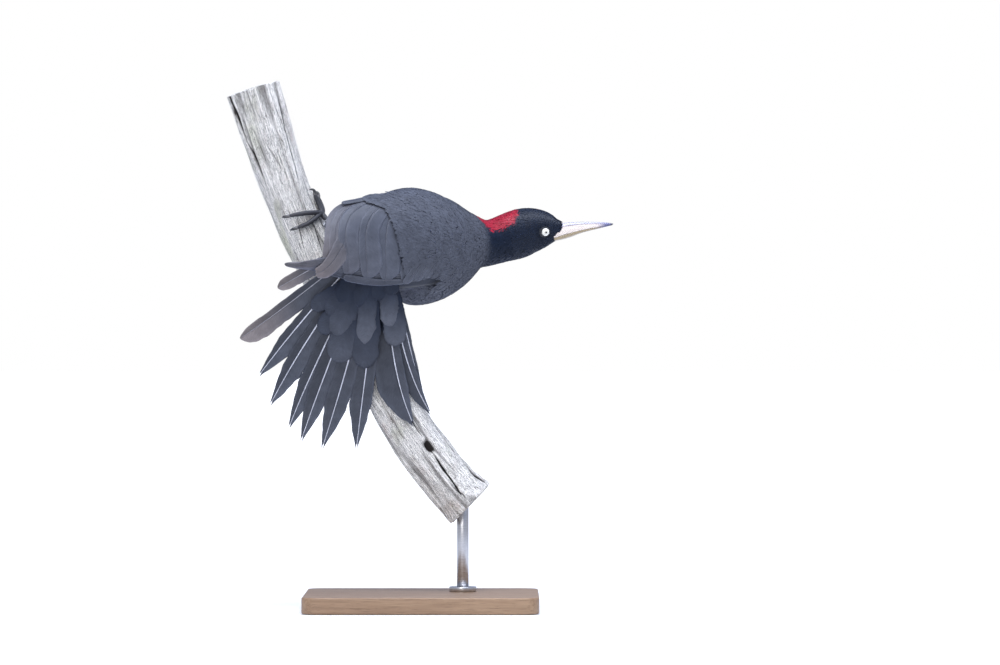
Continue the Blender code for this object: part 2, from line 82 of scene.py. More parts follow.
def smooth(values: Sequence, at: Array) -> Array:
    """A natural cubic spline through values at 0, 1, 2, ... read at the places in at.

    Args:
        values: one number or one row of numbers for each whole place.
        at: the places to read, of any shape.

    Returns:
        The values there, in the shape of at followed by that of one value.
    """
    table = np.asarray(values, float)
    flat = table.reshape(len(table), -1)
    count = len(flat)
    system = np.eye(count)
    wanted = np.zeros_like(flat)
    inner = np.arange(1, count - 1)
    for step, weight in ((-1, 1.0), (0, 4.0), (1, 1.0)):
        system[inner, inner + step] = weight
    wanted[inner] = 6 * (flat[inner - 1] - 2 * flat[inner] + flat[inner + 1])
    bend = np.linalg.solve(system, wanted)
    at = np.asarray(at, float)
    low = np.clip(np.floor(at).astype(int), 0, count - 2)
    b = (at - low)[..., None]
    a = 1 - b
    curve = ((a**3 - a) * bend[low] + (b**3 - b) * bend[low + 1]) / 6
    return (a * flat[low] + b * flat[low + 1] + curve).reshape(at.shape + table.shape[1:])


def eased(low: float, high: float, value: Array) -> Array:
    """0 below low, 1 above high, and 3t^2 - 2t^3 between, where t is the share of the way."""
    share = np.clip((value - low) / (high - low), 0, 1)
    return share * share * (3 - 2 * share)


STEP = 0.02  # how far each way a spline's direction is read, in stations


class Face:
    """A curved face that feathers lie on: a place for each pair of parameters and a lift."""

    NUDGE = 1e-3  # the small step by which a face's axes are measured

    def point(self, a: Array, b: Array, lift: Array = 0.0) -> Array:
        """The place at parameters a and b, lifted off the face."""
        raise NotImplementedError

    def axes(self, a: Array, b: Array) -> tuple[Array, Array, Array]:
        """How the place moves with a and with b, by small steps, and the way out of the face."""
        step = self.NUDGE
        by_a = (self.point(a + step, b) - self.point(a - step, b)) / (2 * step)
        by_b = (self.point(a, b + step) - self.point(a, b - step)) / (2 * step)
        return by_a, by_b, unit(self.point(a, b, 1.0) - self.point(a, b))

    @staticmethod
    def shift(by_a: Array, by_b: Array, move: Array) -> tuple[Array, Array]:
        """The steps in a and b that best make a move in space, by least squares."""
        pairs = ((by_a, by_a), (by_a, by_b), (by_b, by_b), (by_a, move), (by_b, move))
        aa, ab, bb, ma, mb = ((one * other).sum(-1) for one, other in pairs)
        size = np.maximum(aa * bb - ab * ab, 1e-9)
        return (bb * ma - ab * mb) / size, (aa * mb - ab * ma) / size


@dataclass(frozen=True)
class BodyForm(Face):
    """Trunk, neck and head: an oval carried along a spine, a its station and b the turn round it.

    The turn is an angle from the back's midline over the bird's right side. The point is the
    spine's place plus half-width times sin(turn) to the right plus height times cos(turn) to the
    back, each with the lift added.
    """

    # Place, way to the back, half-width, height above the spine and depth below it.
    spine: tuple = (
        ((-55, -19, 299), (-0.15, -0.97, 0.10), 21, 5.5, 6),
        ((-53, -21, 317), (-0.15, -0.94, 0.20), 23, 12, 12),
        ((-49, -17, 336), (-0.15, -0.80, 0.50), 28, 20, 20),
        ((-43, -8, 351), (0.05, -0.62, 0.75), 36, 31, 31),
        ((-30, 5, 365), (0.30, -0.45, 0.84), 44, 43, 46),
        ((-11, 22, 372), (0.335, -0.43, 0.84), 49, 52, 63),
        ((11, 41, 374), (0.335, -0.43, 0.84), 49, 53, 65),
        ((32, 57, 375), (0.335, -0.43, 0.84), 41, 43, 54),
        ((49, 71, 377), (0.24, -0.42, 0.86), 30, 31, 32),
        ((65, 82, 378), (0.10, -0.38, 0.90), 23, 23.5, 26),
        ((80, 89, 381), (0.04, -0.34, 0.93), 21.5, 24, 25),
        ((97, 94, 386), (0.0, -0.30, 0.95), 21, 26, 26),
        ((112, 96.5, 390), (0.0, -0.28, 0.96), 19.5, 24.5, 24),
        ((127, 98, 391), (0.0, -0.26, 0.965), 15, 20, 19),
        ((138, 98.5, 391.0), (0.0, -0.26, 0.965), 9.6, 14, 11.2),
        ((146, 99, 392.5), (0.0, -0.26, 0.965), 5.6, 8, 4.5),
    )

    @property
    def last(self) -> float:
        """The last station, inside the bill's root."""
        return len(self.spine) - 1.0

    def frames(self, at: Array) -> tuple[Array, Array, Array, Array]:
        """The spine's place, the ways right and to the back, and the oval's three sizes."""
        at = np.clip(at, -0.9, self.last + 0.3)
        places = [s[0] for s in self.spine]
        place = smooth(places, at)
        along = unit(smooth(places, at + STEP) - smooth(places, at - STEP))
        back = smooth([unit(np.array(s[1], float)) for s in self.spine], at)
        back = unit(back - (back * along).sum(-1, keepdims=True) * along)
        return place, np.cross(along, back), back, smooth([s[2:] for s in self.spine], at)

    def point(self, a: Array, b: Array, lift: Array = 0.0) -> Array:
        """The place at station a and turn b."""
        place, right, back, sizes = self.frames(a)
        half = sizes[..., 0] + lift
        up = np.where(np.cos(b) > 0, sizes[..., 1], sizes[..., 2]) + lift
        return place + (half * np.sin(b))[..., None] * right + (up * np.cos(b))[..., None] * back


@dataclass(frozen=True)
class WingForm(Face):
    """A folded wing's outer face, a from 0 at the shoulder to 11 at the tip and b across it.

    b runs from 0 at the lower edge to 1 at the upper one. The wing wraps the trunk as part of an
    oval round the trunk's own axis, and narrows to the flight feathers' tips.
    """

    side: int = 1
    centre: tuple = (-11.0, 22.0, 373.0)
    heading: float = 38.0
    roll: float = 33.0
    reach: float = 187.0
    # Ahead of the trunk's centre, half-width, height, angles of the upper and lower edges.
    table: tuple = (
        (42, 46, 46, 40, 84),
        (22, 53.5, 56, 26, 102),
        (-6, 57.5, 61, 12, 111),
        (-36, 57, 62, 7, 116),
        (-64, 53, 60, 5, 117),
        (-90, 48, 54, 4, 114),
        (-112, 45, 46, 3, 110),
        (-130, 44, 36, 12, 107),
        (-143, 43, 29, 44, 105),
        (-156, 42, 25, 70, 103),
        (-172, 40, 22, 82, 100),
        (-187, 37, 20, 86, 94),
    )
    # At the tip: over the back, up, shares narrower and flatter, drawn forwards; edge raised by.
    tuck: tuple = (0.0, 0.0, 0.0, 0.0, 0.0, 0.0)

    def trunk_axes(self) -> tuple[Array, Array, Array]:
        """Ways forwards, right and to the back of the trunk."""
        turn, roll = math.radians(self.heading), math.radians(self.roll)
        forwards = np.array([math.cos(turn), math.sin(turn), 0.0])
        level = np.array([math.sin(turn), -math.cos(turn), 0.0])
        back = math.cos(roll) * np.array([0.0, 0.0, 1.0]) + math.sin(roll) * level
        return forwards, np.cross(forwards, back), back

    def point(self, a: Array, b: Array, lift: Array = 0.0) -> Array:
        """The place a down the wing and b across it."""
        forwards, right, back = self.trunk_axes()
        sizes = smooth(self.table, np.clip(a, -0.5, len(self.table) - 0.9))
        ahead, half, height, upper, lower = np.moveaxis(sizes, -1, 0)
        far = np.clip(-ahead / self.reach, 0, 1) ** 1.5
        over, up, narrow, flat, draw, clear = self.tuck
        lower = lower - clear * np.clip((20 - ahead) / 70, 0, 1)
        turn = np.radians(lower + (upper - lower) * b)
        wide = (half * (1 - narrow * far) + lift) * np.sin(turn) - over * far
        high = (height * (1 - flat * far) + lift) * np.cos(turn) + up * far
        return (
            np.array(self.centre)
            + (ahead + draw * far)[..., None] * forwards
            + (self.side * wide)[..., None] * right
            + high[..., None] * back
        )


@dataclass(frozen=True)
class ThighForm(Face):
    """A feathered thigh: a round cone, a the share of the way from hip to ankle, b the turn."""

    hip: tuple
    ankle: tuple
    swell: tuple = ((0.0, 15.0), (0.3, 13.5), (0.8, 7.0), (1.0, 5.2))

    def point(self, a: Array, b: Array, lift: Array = 0.0) -> Array:
        """The place at share a and turn b."""
        hip, ankle = np.array(self.hip, float), np.array(self.ankle, float)
        along = unit(ankle - hip)
        across = unit(np.cross(along, np.array([0.0, -1.0, 0.0])))
        other = np.cross(along, across)
        shares, radii = zip(*self.swell, strict=True)
        radius = np.interp(a, shares, radii) + lift
        a = np.asarray(a, float)
        return (
            hip
            + a[..., None] * (ankle - hip)
            + (radius * np.cos(b))[..., None] * across
            + (radius * np.sin(b))[..., None] * other
        )


@dataclass(frozen=True)
class FanForm(Face):
    """The tail's front: a is X and b is Z, and lift stands off towards the front, -Y.

    It slopes back from its root until it lies against the branch. A bulge of that many
    millimetres, for the coverts, rises over the root.
    """

    pressed: float = -5.0
    raised: float = 16.0
    low: float = 214.0
    slope: float = 120.0
    bulge: float = 0.0
    bulge_middle: float = -55.0

    def point(self, a: Array, b: Array, lift: Array = 0.0) -> Array:
        """The place at X = a and Z = b."""
        a, b = np.broadcast_arrays(a, b)
        share = np.clip((b - self.low) / self.slope, 0, 1.4)
        side = np.exp(-(((a - self.bulge_middle) / 42.0) ** 2))
        rise = self.bulge * side * eased(self.low + 20, self.low + 115, b)
        depth = self.pressed - self.raised * share**1.2 - rise
        return np.stack([a, depth - lift, b], -1)


@dataclass(frozen=True)
class PerchForm(Face):
    """The cut branch: a its station, b the turn from the front (-Y) to the +X side."""

    middle: float = 25.5
    table: tuple = (
        ((-174, 534), 28.5),
        ((-143, 441), 24.5),
        ((-108, 358), 23.5),
        ((-66, 276), 24.0),
        ((-18, 194), 25.0),
        ((28, 132), 27.0),
        ((50, 108), 29.0),
    )

    @property
    def last(self) -> float:
        """The lower end's station."""
        return len(self.table) - 1.0

    def frames(self, at: Array) -> tuple[Array, Array, Array, Array]:
        """The middle line's place, the ways to the front and to the side, and the radius."""
        places = [(x, self.middle, z) for (x, z), _ in self.table]
        place = smooth(places, at)
        ends = (np.clip(at + step, 0, self.last) for step in (STEP, -STEP))
        ahead, behind = (smooth(places, end) for end in ends)
        along = unit(ahead - behind)
        front = np.zeros_like(place) + np.array([0.0, -1.0, 0.0])
        return place, front, np.cross(front, along), smooth([r for _, r in self.table], at)

    def point(self, a: Array, b: Array, lift: Array = 0.0) -> Array:
        """The place at station a and turn b: low waves round the branch, added to its radius."""
        a, b = np.broadcast_arrays(np.asarray(a, float), np.asarray(b, float))
        place, front, side, radius = self.frames(a)
        waves = 0.045 * np.sin(3 * b + 1.3 * a) + 0.03 * np.sin(5 * b - 2.1 * a + 1)
        out = radius * (1 + waves + 0.03 * np.sin(2.3 * a + b)) + lift
        return place + (out * np.cos(b))[..., None] * front + (out * np.sin(b))[..., None] * side


# ---------------------------------------------------------------------------------------------
# Meshes from whole arrays

PATCH = 0.003  # a small feather's side on the export's map
MARGIN = 0.004  # what is kept clear round the map's edge


def stacked(*parts: Array) -> Array:
    """Arrays spread to one shape and stacked along a new last axis."""
    return np.stack(np.broadcast_arrays(*parts), -1)


def run_of(path: Array) -> Array:
    """How far along a path each of its places lies."""
    return np.concatenate([[0], np.cumsum(np.linalg.norm(np.diff(path, axis=0), axis=1))])


def map_place(u: Array, v: Array) -> Array:
    """A place on the map from shares of its sides, kept clear of its edges."""
    return MARGIN + (1 - 2 * MARGIN) * stacked(u, v).clip(0, 1)


@dataclass
class Patch:
    """Points and four-sided faces of closed shells, with the values that their materials read.

    Attributes:
        points: places in millimetres, one row each.
        faces: four point numbers a row, running anticlockwise seen from outside.
        colour: red, green and blue for each point, linear.
        barbs: place on its own feather or grain for each point, in millimetres.
        bake: place on the export's map for each corner of each face, from 0 to 1, or None.
        slots: material number for each face.
        glow: one more number for each point, whose meaning is the material's.
        lie: the way out of the body at each point, to shade soft feathers by, or None.
    """

    points: Array
    faces: Array
    colour: Array | None = None
    barbs: Array | None = None
    bake: Array | None = None
    slots: Array | None = None
    glow: Array | None = None
    lie: Array | None = None

    @staticmethod
    def join(patches: Sequence[Patch]) -> Patch:
        """All the patches as one."""
        starts = np.cumsum([0] + [len(p.points) for p in patches[:-1]])

        def column(name: str) -> Array | None:
            """One field of all the patches, or nothing where one lacks it."""
            found = [getattr(p, name) for p in patches]
            return None if any(f is None for f in found) else np.concatenate(found)

        return Patch(
            np.concatenate([p.points for p in patches]),
            np.concatenate([p.faces + s for p, s in zip(patches, starts, strict=True)]),
            *(column(name) for name in ("colour", "barbs", "bake", "slots", "glow", "lie")),
        )


def ladder(ring: Array) -> Array:
    """Four-sided faces that close an even ring of points, rung by rung."""
    half = len(ring) // 2
    near, far = ring[:half], ring[::-1][:half]
    return np.stack([near[:-1], near[1:], far[1:], far[:-1]], 1)


def tube_faces(rows: int, sides: int, capped: bool = True) -> Array:
    """Faces between closed rings, row by row.

    Args:
        rows: how many rings.
        sides: points to a ring.
        capped: whether a ladder of faces closes each end.

    Returns:
        Four corners for each face.
    """
    i, j = np.meshgrid(np.arange(rows - 1), np.arange(sides), indexing="ij")
    k = (j + 1) % sides
    near, far = i * sides, (i + 1) * sides
    wall = np.stack([near + j, near + k, far + k, far + j], -1)
    parts = [wall.reshape(-1, 4)]
    if capped:
        ring = np.arange(sides)
        parts += [ladder(ring)[:, ::-1], ladder((rows - 1) * sides + ring)]
    return np.concatenate(parts)


def sheet_faces(rows: int, columns: int) -> Array:
    """Faces of a closed sheet: an upper grid, a lower one after it, and a rim between them.

    Args:
        rows: points along each grid.
        columns: points across it.

    Returns:
        Four corners for each face.
    """
    i, j = np.meshgrid(np.arange(rows - 1), np.arange(columns - 1), indexing="ij")
    a = (i * columns + j).ravel()
    top = np.stack([a, a + 1, a + columns + 1, a + columns], 1)
    below = rows * columns
    rim = np.concatenate([
        np.arange(columns),
        np.arange(1, rows) * columns + columns - 1,
        (rows - 1) * columns + np.arange(columns - 2, -1, -1),
        np.arange(rows - 2, 0, -1) * columns,
    ])
    after = np.roll(rim, -1)
    side = np.stack([rim, rim + below, after + below, after], 1)
    return np.concatenate([top, top[:, ::-1] + below, side])


@dataclass(frozen=True)
class Cell:
    """A rectangle of the export's map, by its lower left corner, width and height."""

    u: float
    v: float
    wide: float
    high: float

    def part(self, first: float, last: float) -> Cell:
        """An upright strip of the cell between two shares of its width, with a thin gap."""
        wide = (last - first) * self.wide
        gap = 0.03 * wide
        return Cell(self.u + first * self.wide + gap, self.v, wide - 2 * gap, self.high)

    def at(self, x: Array, y: Array) -> Array:
        """Places on the map for shares of the cell's width and height."""
        return stacked(self.u + x * self.wide, self.v + y * self.high)

    @staticmethod
    def rows_of(count: int, rows: int) -> list[Cell]:
        """Equal cells, in so many rows, that fill the map inside its margin."""
        across = -(-count // rows)
        wide, high = (1 - 2 * MARGIN) / across, (1 - 2 * MARGIN) / rows
        spots = (divmod(number, across) for number in range(count))
        return [
            Cell(MARGIN + i * wide, MARGIN + (j + 0.01) * high, wide, 0.98 * high) for j, i in spots
        ]


def closed_sheet(outer: Array, inner: Array, cell: Cell | None = None) -> Patch:
    """A thin closed solid between two grids of the same shape, its outer side facing out.

    Args:
        outer: the outer grid's places, by row and column.
        inner: the inner grid's places.
        cell: the map's rectangle for it, the outer side left and the inner side right. A rim
            face lies in a sliver just outside the outer side's edge.

    Returns:
        The solid.
    """
    rows, columns = outer.shape[:2]
    faces = sheet_faces(rows, columns)
    points = np.concatenate([outer.reshape(-1, 3), inner.reshape(-1, 3)])
    count = (rows - 1) * (columns - 1)
    a, b, c, d = (points[faces[:count, i]] for i in range(4))
    facing = np.cross(c - a, d - b) * (outer - inner)[:-1, :-1].reshape(-1, 3)
    turned = facing.sum() < 0
    bake = None
    if cell is not None:
        x, y = np.meshgrid(np.linspace(0.06, 0.94, columns), np.linspace(0.02, 0.98, rows))
        left, right = cell.part(0.0, 0.5), cell.part(0.5, 1.0)
        front = left.at(x, y).reshape(-1, 2)
        spots = np.concatenate([front, right.at(x, y).reshape(-1, 2)])
        bake = spots[faces]
        middle = front.mean(0)
        for corner, source in ((1, 0), (2, 3)):
            rim = front[faces[2 * count :, source]]
            bake[2 * count :, corner] = rim + (rim - middle) * np.array([0.10, 0.012])
    if turned:
        faces = faces[:, ::-1]
        bake = None if bake is None else bake[:, ::-1]
    return Patch(points, faces, bake=bake)


def add_object(name: str, data: bpy.types.ID) -> bpy.types.Object:
    """A new object that holds the data, linked into the scene."""
    made = bpy.data.objects.new(name, data)
    bpy.context.scene.collection.objects.link(made)
    return made


def make_piece(
    name: str,
    patch: Patch,
    materials: Sequence[bpy.types.Material],
    nodes: Sequence[str] = (),
) -> bpy.types.Object:
    """Turns a patch into an object of the model that rides on its body.

    Args:
        name: the piece's name.
        patch: its shape and values.
        materials: what its faces wear, in the order of the patch's slots.
        nodes: the CAD nodes that it stands for.

    Returns:
        The new object, at the origin.
    """
    mesh = bpy.data.meshes.new(name)
    count = len(patch.faces)
    mesh.vertices.add(len(patch.points))
    mesh.vertices.foreach_set("co", (patch.points * MM).astype(np.float32).ravel())
    mesh.loops.add(4 * count)
    mesh.loops.foreach_set("vertex_index", patch.faces.astype(np.int32).ravel())
    mesh.polygons.add(count)
    mesh.polygons.foreach_set("loop_start", np.arange(0, 4 * count, 4, dtype=np.int32))
    mesh.update(calc_edges=True)
    set_values(mesh, patch, materials)
    if patch.lie is not None:
        soften(mesh, patch.lie)
    made = add_object(name, mesh)
    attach(made, BODY)
    if nodes:
        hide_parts(*nodes)
    log.info("%s: %d faces", name, count)
    return made


def soften(mesh: bpy.types.Mesh, lie: Array, share: float = 0.75) -> None:
    """Shades each point by its own normal mixed with the body's, as soft barbs do.

    Args:
        mesh: the feathers.
        lie: the way out of the body at each point, or into it on a feather's under side.
        share: how much of the body's normal is mixed in.
    """
    own = np.empty(3 * len(mesh.vertices), np.float32)
    mesh.vertex_normals.foreach_get("vector", own)
    mixed = unit(own.reshape(-1, 3) * (1 - share) + lie * share)
    mesh.normals_split_custom_set_from_vertices(mixed.astype(np.float32))


def set_values(
    mesh: bpy.types.Mesh, patch: Patch, materials: Sequence[bpy.types.Material]
) -> None:
    """Gives a mesh its materials, smooth shading and the patch's colours, maps and numbers.

    Args:
        mesh: what gets them, with the patch's points and faces.
        patch: where they come from.
        materials: what the patch's slots stand for, in their order.
    """
    mesh.polygons.foreach_set("use_smooth", np.full(len(patch.faces), True))
    if patch.slots is not None:
        mesh.polygons.foreach_set("material_index", patch.slots.astype(np.int32))
    for material in materials:
        mesh.materials.append(material)
    if patch.colour is not None:
        colour = mesh.attributes.new("Plumage", "FLOAT_COLOR", "POINT")
        full = np.concatenate([patch.colour, np.ones((len(patch.colour), 1))], 1)
        colour.data.foreach_set("color", full.astype(np.float32).ravel())
    if patch.glow is not None:
        number = mesh.attributes.new("Glow", "FLOAT", "POINT")
        number.data.foreach_set("value", patch.glow.astype(np.float32))
    barbs = None if patch.barbs is None else patch.barbs[patch.faces.ravel()]
    for name, places in (("Barbs", barbs), ("OFBake", patch.bake)):
        if places is not None:
            layer = mesh.uv_layers.new(name=name)
            layer.uv.foreach_set("vector", places.astype(np.float32).ravel())


def tube_patch(
    path: Array,
    radius: Array,
    sides: int,
    flat: float = 1.0,
    hint: Sequence = (0.0, -1.0, 0.0),
    cell: Cell | None = None,
) -> Patch:
    """A round or flattened tube along a path.

    Args:
        path: places along the middle.
        radius: one for each place, or one for each place and side.
        sides: how many sides it has, an even number.
        flat: the share of the radius that it keeps across the hint's way.
        hint: a way that the section's first axis is square to.
        cell: the map's rectangle for it.

    Returns:
        The tube: path + radius * (cos t * across + flat * sin t * other), closed at both ends.
    """
    along = unit(np.gradient(path, axis=0))
    across = unit(np.cross(along, np.array(hint) + 0 * along))
    other = np.cross(along, across)
    turn = np.linspace(0, 2 * math.pi, sides, endpoint=False)
    wide = np.broadcast_to(np.asarray(radius, float).reshape(len(path), -1), (len(path), sides))
    points = (
        path[:, None]
        + (wide * np.cos(turn))[..., None] * across[:, None]
        + (flat * wide * np.sin(turn))[..., None] * other[:, None]
    )
    barbs = stacked(turn * wide.mean(), run_of(path)[:, None]).reshape(-1, 2)
    bake = None
    if cell is not None:
        rows = len(path)
        i, j = np.meshgrid(np.arange(rows - 1), np.arange(sides), indexing="ij")
        x = np.stack([j, j + 1, j + 1, j], -1) / sides
        y = np.stack([i, i, i + 1, i + 1], -1) / (rows - 1)
        wall = cell.at(0.04 + 0.92 * x, 0.03 + 0.94 * y).reshape(-1, 4, 2)
        dot = cell.at(np.array([0.0, 0.5, 0.5, 0.0]), np.array([0.0, 0.0, 0.02, 0.02]))
        bake = np.concatenate([wall, np.broadcast_to(dot, (sides - 2, 4, 2))])
    return Patch(points.reshape(-1, 3), tube_faces(len(path), sides), barbs=barbs, bake=bake)


def value_noise(u: Array, v: Array, seed: int, wrap: int = 0) -> Array:
    """Smooth noise from -1 to 1: random numbers on a lattice, eased from one to the next.

    Args:
        u: places along the first way, in cells.
        v: places along the second way, in cells.
        seed: which lattice.
        wrap: how many cells round the first way meets itself, or 0 where it doesn't.

    Returns:
        The noise at each place.
    """
    size = 256
    lattice = np.random.default_rng(seed).uniform(-1, 1, (size, size))
    iu, iv = np.floor(u).astype(int), np.floor(v).astype(int)
    fu, fv = u - iu, v - iv
    fu, fv = fu * fu * (3 - 2 * fu), fv * fv * (3 - 2 * fv)
    around = wrap or size

    def corner(du: int, dv: int) -> Array:
        """The lattice's number at one corner of each place's cell."""
        return lattice[(iu + du) % around % size, (iv + dv) % size]

    near = corner(0, 0) * (1 - fu) + corner(1, 0) * fu
    far = corner(0, 1) * (1 - fu) + corner(1, 1) * fu
    return near * (1 - fv) + far * fv


# ---------------------------------------------------------------------------------------------
# Finishes


class Nodes:
    """Adds shader nodes to a tree and links them."""

    MIXED = (6, 7)  # a Mix node's two colour sockets
    USUAL = (0.3, 0.7)  # where most of a noise's values lie

    def __init__(self, tree: bpy.types.NodeTree) -> None:
        """Takes the tree that the nodes go into."""
        self.tree = tree

    def node(self, kind: str, **settings: object) -> bpy.types.Node:
        """A new node of a kind, with some of its properties set."""
        made = self.tree.nodes.new(kind)
        for key, value in settings.items():
            setattr(made, key, value)
        return made

    def feed(self, socket: bpy.types.NodeSocket, source: object) -> None:
        """Links a source to a socket, or sets the socket to it if it is a plain value."""
        if isinstance(source, bpy.types.NodeSocket):
            self.tree.links.new(source, socket)
        else:
            socket.default_value = source

    def fill(self, made: bpy.types.Node, *sources: object, first: int = 0) -> object:
        """Feeds a node's sockets in order, and gives back its first output."""
        for number, source in enumerate(sources):
            self.feed(made.inputs[first + number], source)
        return made.outputs[0]

    def math(self, kind: str, a: object, b: object = 0.0) -> object:
        """A Math node's result."""
        return self.fill(self.node("ShaderNodeMath", operation=kind), a, b)

    def times(self, a: object, b: object) -> object:
        """The product of two numbers."""
        return self.math("MULTIPLY", a, b)

    def mix(self, share: object, a: object, b: tuple | object) -> object:
        """A colour mixed from a and b, each a source or a plain colour."""
        made = self.node("ShaderNodeMix", data_type="RGBA")
        self.feed(made.inputs[0], share)
        for socket, colour in zip(self.MIXED, (a, b), strict=True):
            plain = isinstance(colour, tuple)
            self.feed(made.inputs[socket], (*colour, 1.0) if plain else colour)
        return made.outputs[2]

    def ramp(self, share: object, stops: Sequence[tuple[float, tuple]]) -> object:
        """A colour read from a ramp of stops, each a place and a colour."""
        made = self.node("ShaderNodeValToRGB")
        elements = made.color_ramp.elements
        while len(elements) < len(stops):
            elements.new(1.0)
        for element, (place, colour) in zip(elements, stops, strict=True):
            element.position, element.color = place, (*colour, 1.0)
        return self.fill(made, share)

    def spread(self, share: object, low: float, high: float, start: float, end: float) -> object:
        """A number carried from the range low to high onto start to end, and held there."""
        return self.fill(self.node("ShaderNodeMapRange", clamp=True), share, low, high, start, end)

    def graded(self, share: object, start: float, end: float) -> object:
        """Noise's usual range, carried onto start to end."""
        return self.spread(share, *self.USUAL, start, end)

    def noise(self, place: object, scale: float, detail: float = 3.0, rough: float = 0.5) -> object:
        """Noise at a place."""
        made = self.node("ShaderNodeTexNoise")
        sources = {"Vector": place, "Scale": scale, "Detail": detail, "Roughness": rough}
        for socket, source in sources.items():
            self.feed(made.inputs[socket], source)
        return made.outputs["Fac"]


class Recipe(Nodes):
    """Builds one material's nodes round its Principled shader."""

    def __init__(self, name: str, **constants: float | tuple) -> None:
        """Starts the material, with the shader's constant sockets by name."""
        self.material = bpy.data.materials.new(name)
        self.material.use_nodes = True
        super().__init__(self.material.node_tree)
        self.shader = self.tree.nodes["Principled BSDF"]
        for socket, value in constants.items():
            self.shader.inputs[socket.replace("_", " ")].default_value = value

    def place(self) -> object:
        """The point on the model, in metres."""
        return self.node("ShaderNodeTexCoord").outputs["Object"]

    def stretch(self, place: object, scale: tuple) -> object:
        """A place stretched along each axis."""
        made = self.node("ShaderNodeMapping")
        self.feed(made.inputs["Vector"], place)
        made.inputs["Scale"].default_value = scale
        return made.outputs["Vector"]

    def barbs(self) -> tuple[object, object]:
        """Across and along the feather or grain, in millimetres."""
        made = self.node("ShaderNodeSeparateXYZ")
        self.feed(made.inputs[0], self.node("ShaderNodeUVMap", uv_map="Barbs").outputs[0])
        return made.outputs[0], made.outputs[1]

    def fibres(
        self,
        x: object,
        y: object,
        across: float,
        along: float,
        detail: float = 3.0,
        rough: float = 0.6,
    ) -> object:
        """Noise drawn out into fibres, with so many cells to a millimetre each way."""
        joined = self.node("ShaderNodeCombineXYZ")
        place = self.fill(joined, self.times(x, across), self.times(y, along))
        return self.noise(place, 1.0, detail, rough)

    def attribute(self, name: str, output: str = "Color") -> object:
        """A value stored on the mesh."""
        return self.node("ShaderNodeAttribute", attribute_name=name).outputs[output]

    def scaled(self, colour: object, factor: object) -> object:
        """A colour times a number."""
        made = self.node("ShaderNodeVectorMath", operation="SCALE")
        self.feed(made.inputs[0], colour)
        self.feed(made.inputs["Scale"], factor)
        return made.outputs[0]

    def bump(self, height: object, strength: float, distance: float) -> None:
        """Tilts the surface by a height, with the distance in metres for a height of one."""
        made = self.node("ShaderNodeBump")
        for socket, source in {"Strength": strength, "Distance": distance, "Height": height}.items():
            self.feed(made.inputs[socket], source)
        self.feed(self.shader.inputs["Normal"], made.outputs[0])

    def colour(self, source: object) -> None:
        """Sets the base colour."""
        self.feed(self.shader.inputs["Base Color"], source)

    def tinted(self, shade: object) -> None:
        """Sets the base colour to the one stored on the mesh, times a shade."""
        self.colour(self.scaled(self.attribute("Plumage"), shade))

    def roughness(self, source: object) -> None:
        """Sets the roughness."""
        self.feed(self.shader.inputs["Roughness"], source)


@dataclass(frozen=True)
class FeatherFinish:
    """Feathers: a stored colour, streaked along the barbs, with a soft sheen at the edges.

    Attributes:
        name: the material's name.
        streak: how much the barbs lighten and darken the colour.
        rough: roughness between the barbs.
        sheen: how strongly it glows at a glancing angle.
        gloss: specular level.
        tint: the sheen's colour.
    """

    name: str
    streak: float = 0.2
    rough: float = 0.55
    sheen: float = 0.13
    gloss: float = 0.2
    tint: tuple = (0.55, 0.62, 1.0)

    def make(self) -> bpy.types.Material:
        """The material. Barbs leave the shaft at about 45 degrees, so they run along y - |x|."""
        recipe = Recipe(
            self.name,
            Sheen_Weight=self.sheen,
            Sheen_Roughness=0.35,
            Sheen_Tint=(*self.tint, 1.0),
            Specular_IOR_Level=self.gloss,
        )
        x, y = recipe.barbs()
        wide = recipe.math("ABSOLUTE", x)
        over = recipe.math("SUBTRACT", y, wide)
        down = recipe.math("ADD", y, wide)
        fine = recipe.fibres(over, down, 1.6, 0.13)
        broad = recipe.noise(recipe.place(), 90.0, 2.0)
        streaks = recipe.graded(fine, 1 - self.streak, 1 + self.streak)
        recipe.tinted(recipe.times(streaks, recipe.graded(broad, 0.85, 1.12)))
        recipe.roughness(recipe.graded(fine, self.rough - 0.08, self.rough + 0.1))
        recipe.bump(fine, 0.3, 0.0002)
        return recipe.material


@dataclass(frozen=True)
class ShaftFinish:
    """Feather shafts: smooth horn in a stored colour, flecked along its length."""

    name: str = "feather_shaft"

    def make(self) -> bpy.types.Material:
        """The material."""
        recipe = Recipe(self.name, Specular_IOR_Level=0.6, Coat_Weight=0.2, Coat_Roughness=0.2)
        flecks = recipe.noise(recipe.stretch(recipe.place(), (1, 1, 0.3)), 500.0)
        recipe.tinted(recipe.graded(flecks, 0.75, 1.15))
        recipe.roughness(0.35)
        return recipe.material


@dataclass(frozen=True)
class HornFinish:
    """Bill and claw horn: a stored colour with fine growth streaks along it."""

    name: str
    rough: float = 0.3
    streaks: float = 0.25

    def make(self) -> bpy.types.Material:
        """The material."""
        recipe = Recipe(self.name, Specular_IOR_Level=0.55, Coat_Weight=0.25, Coat_Roughness=0.12)
        lines = recipe.fibres(*recipe.barbs(), 2.2, 0.12, 4.0)
        wear = recipe.noise(recipe.place(), 420.0, 4.0)
        recipe.tinted(recipe.graded(lines, 1 - self.streaks, 1 + self.streaks))
        recipe.roughness(recipe.spread(wear, 0.35, 0.7, self.rough - 0.08, self.rough + 0.15))
        recipe.bump(lines, 0.3, 0.0002)
        return recipe.material


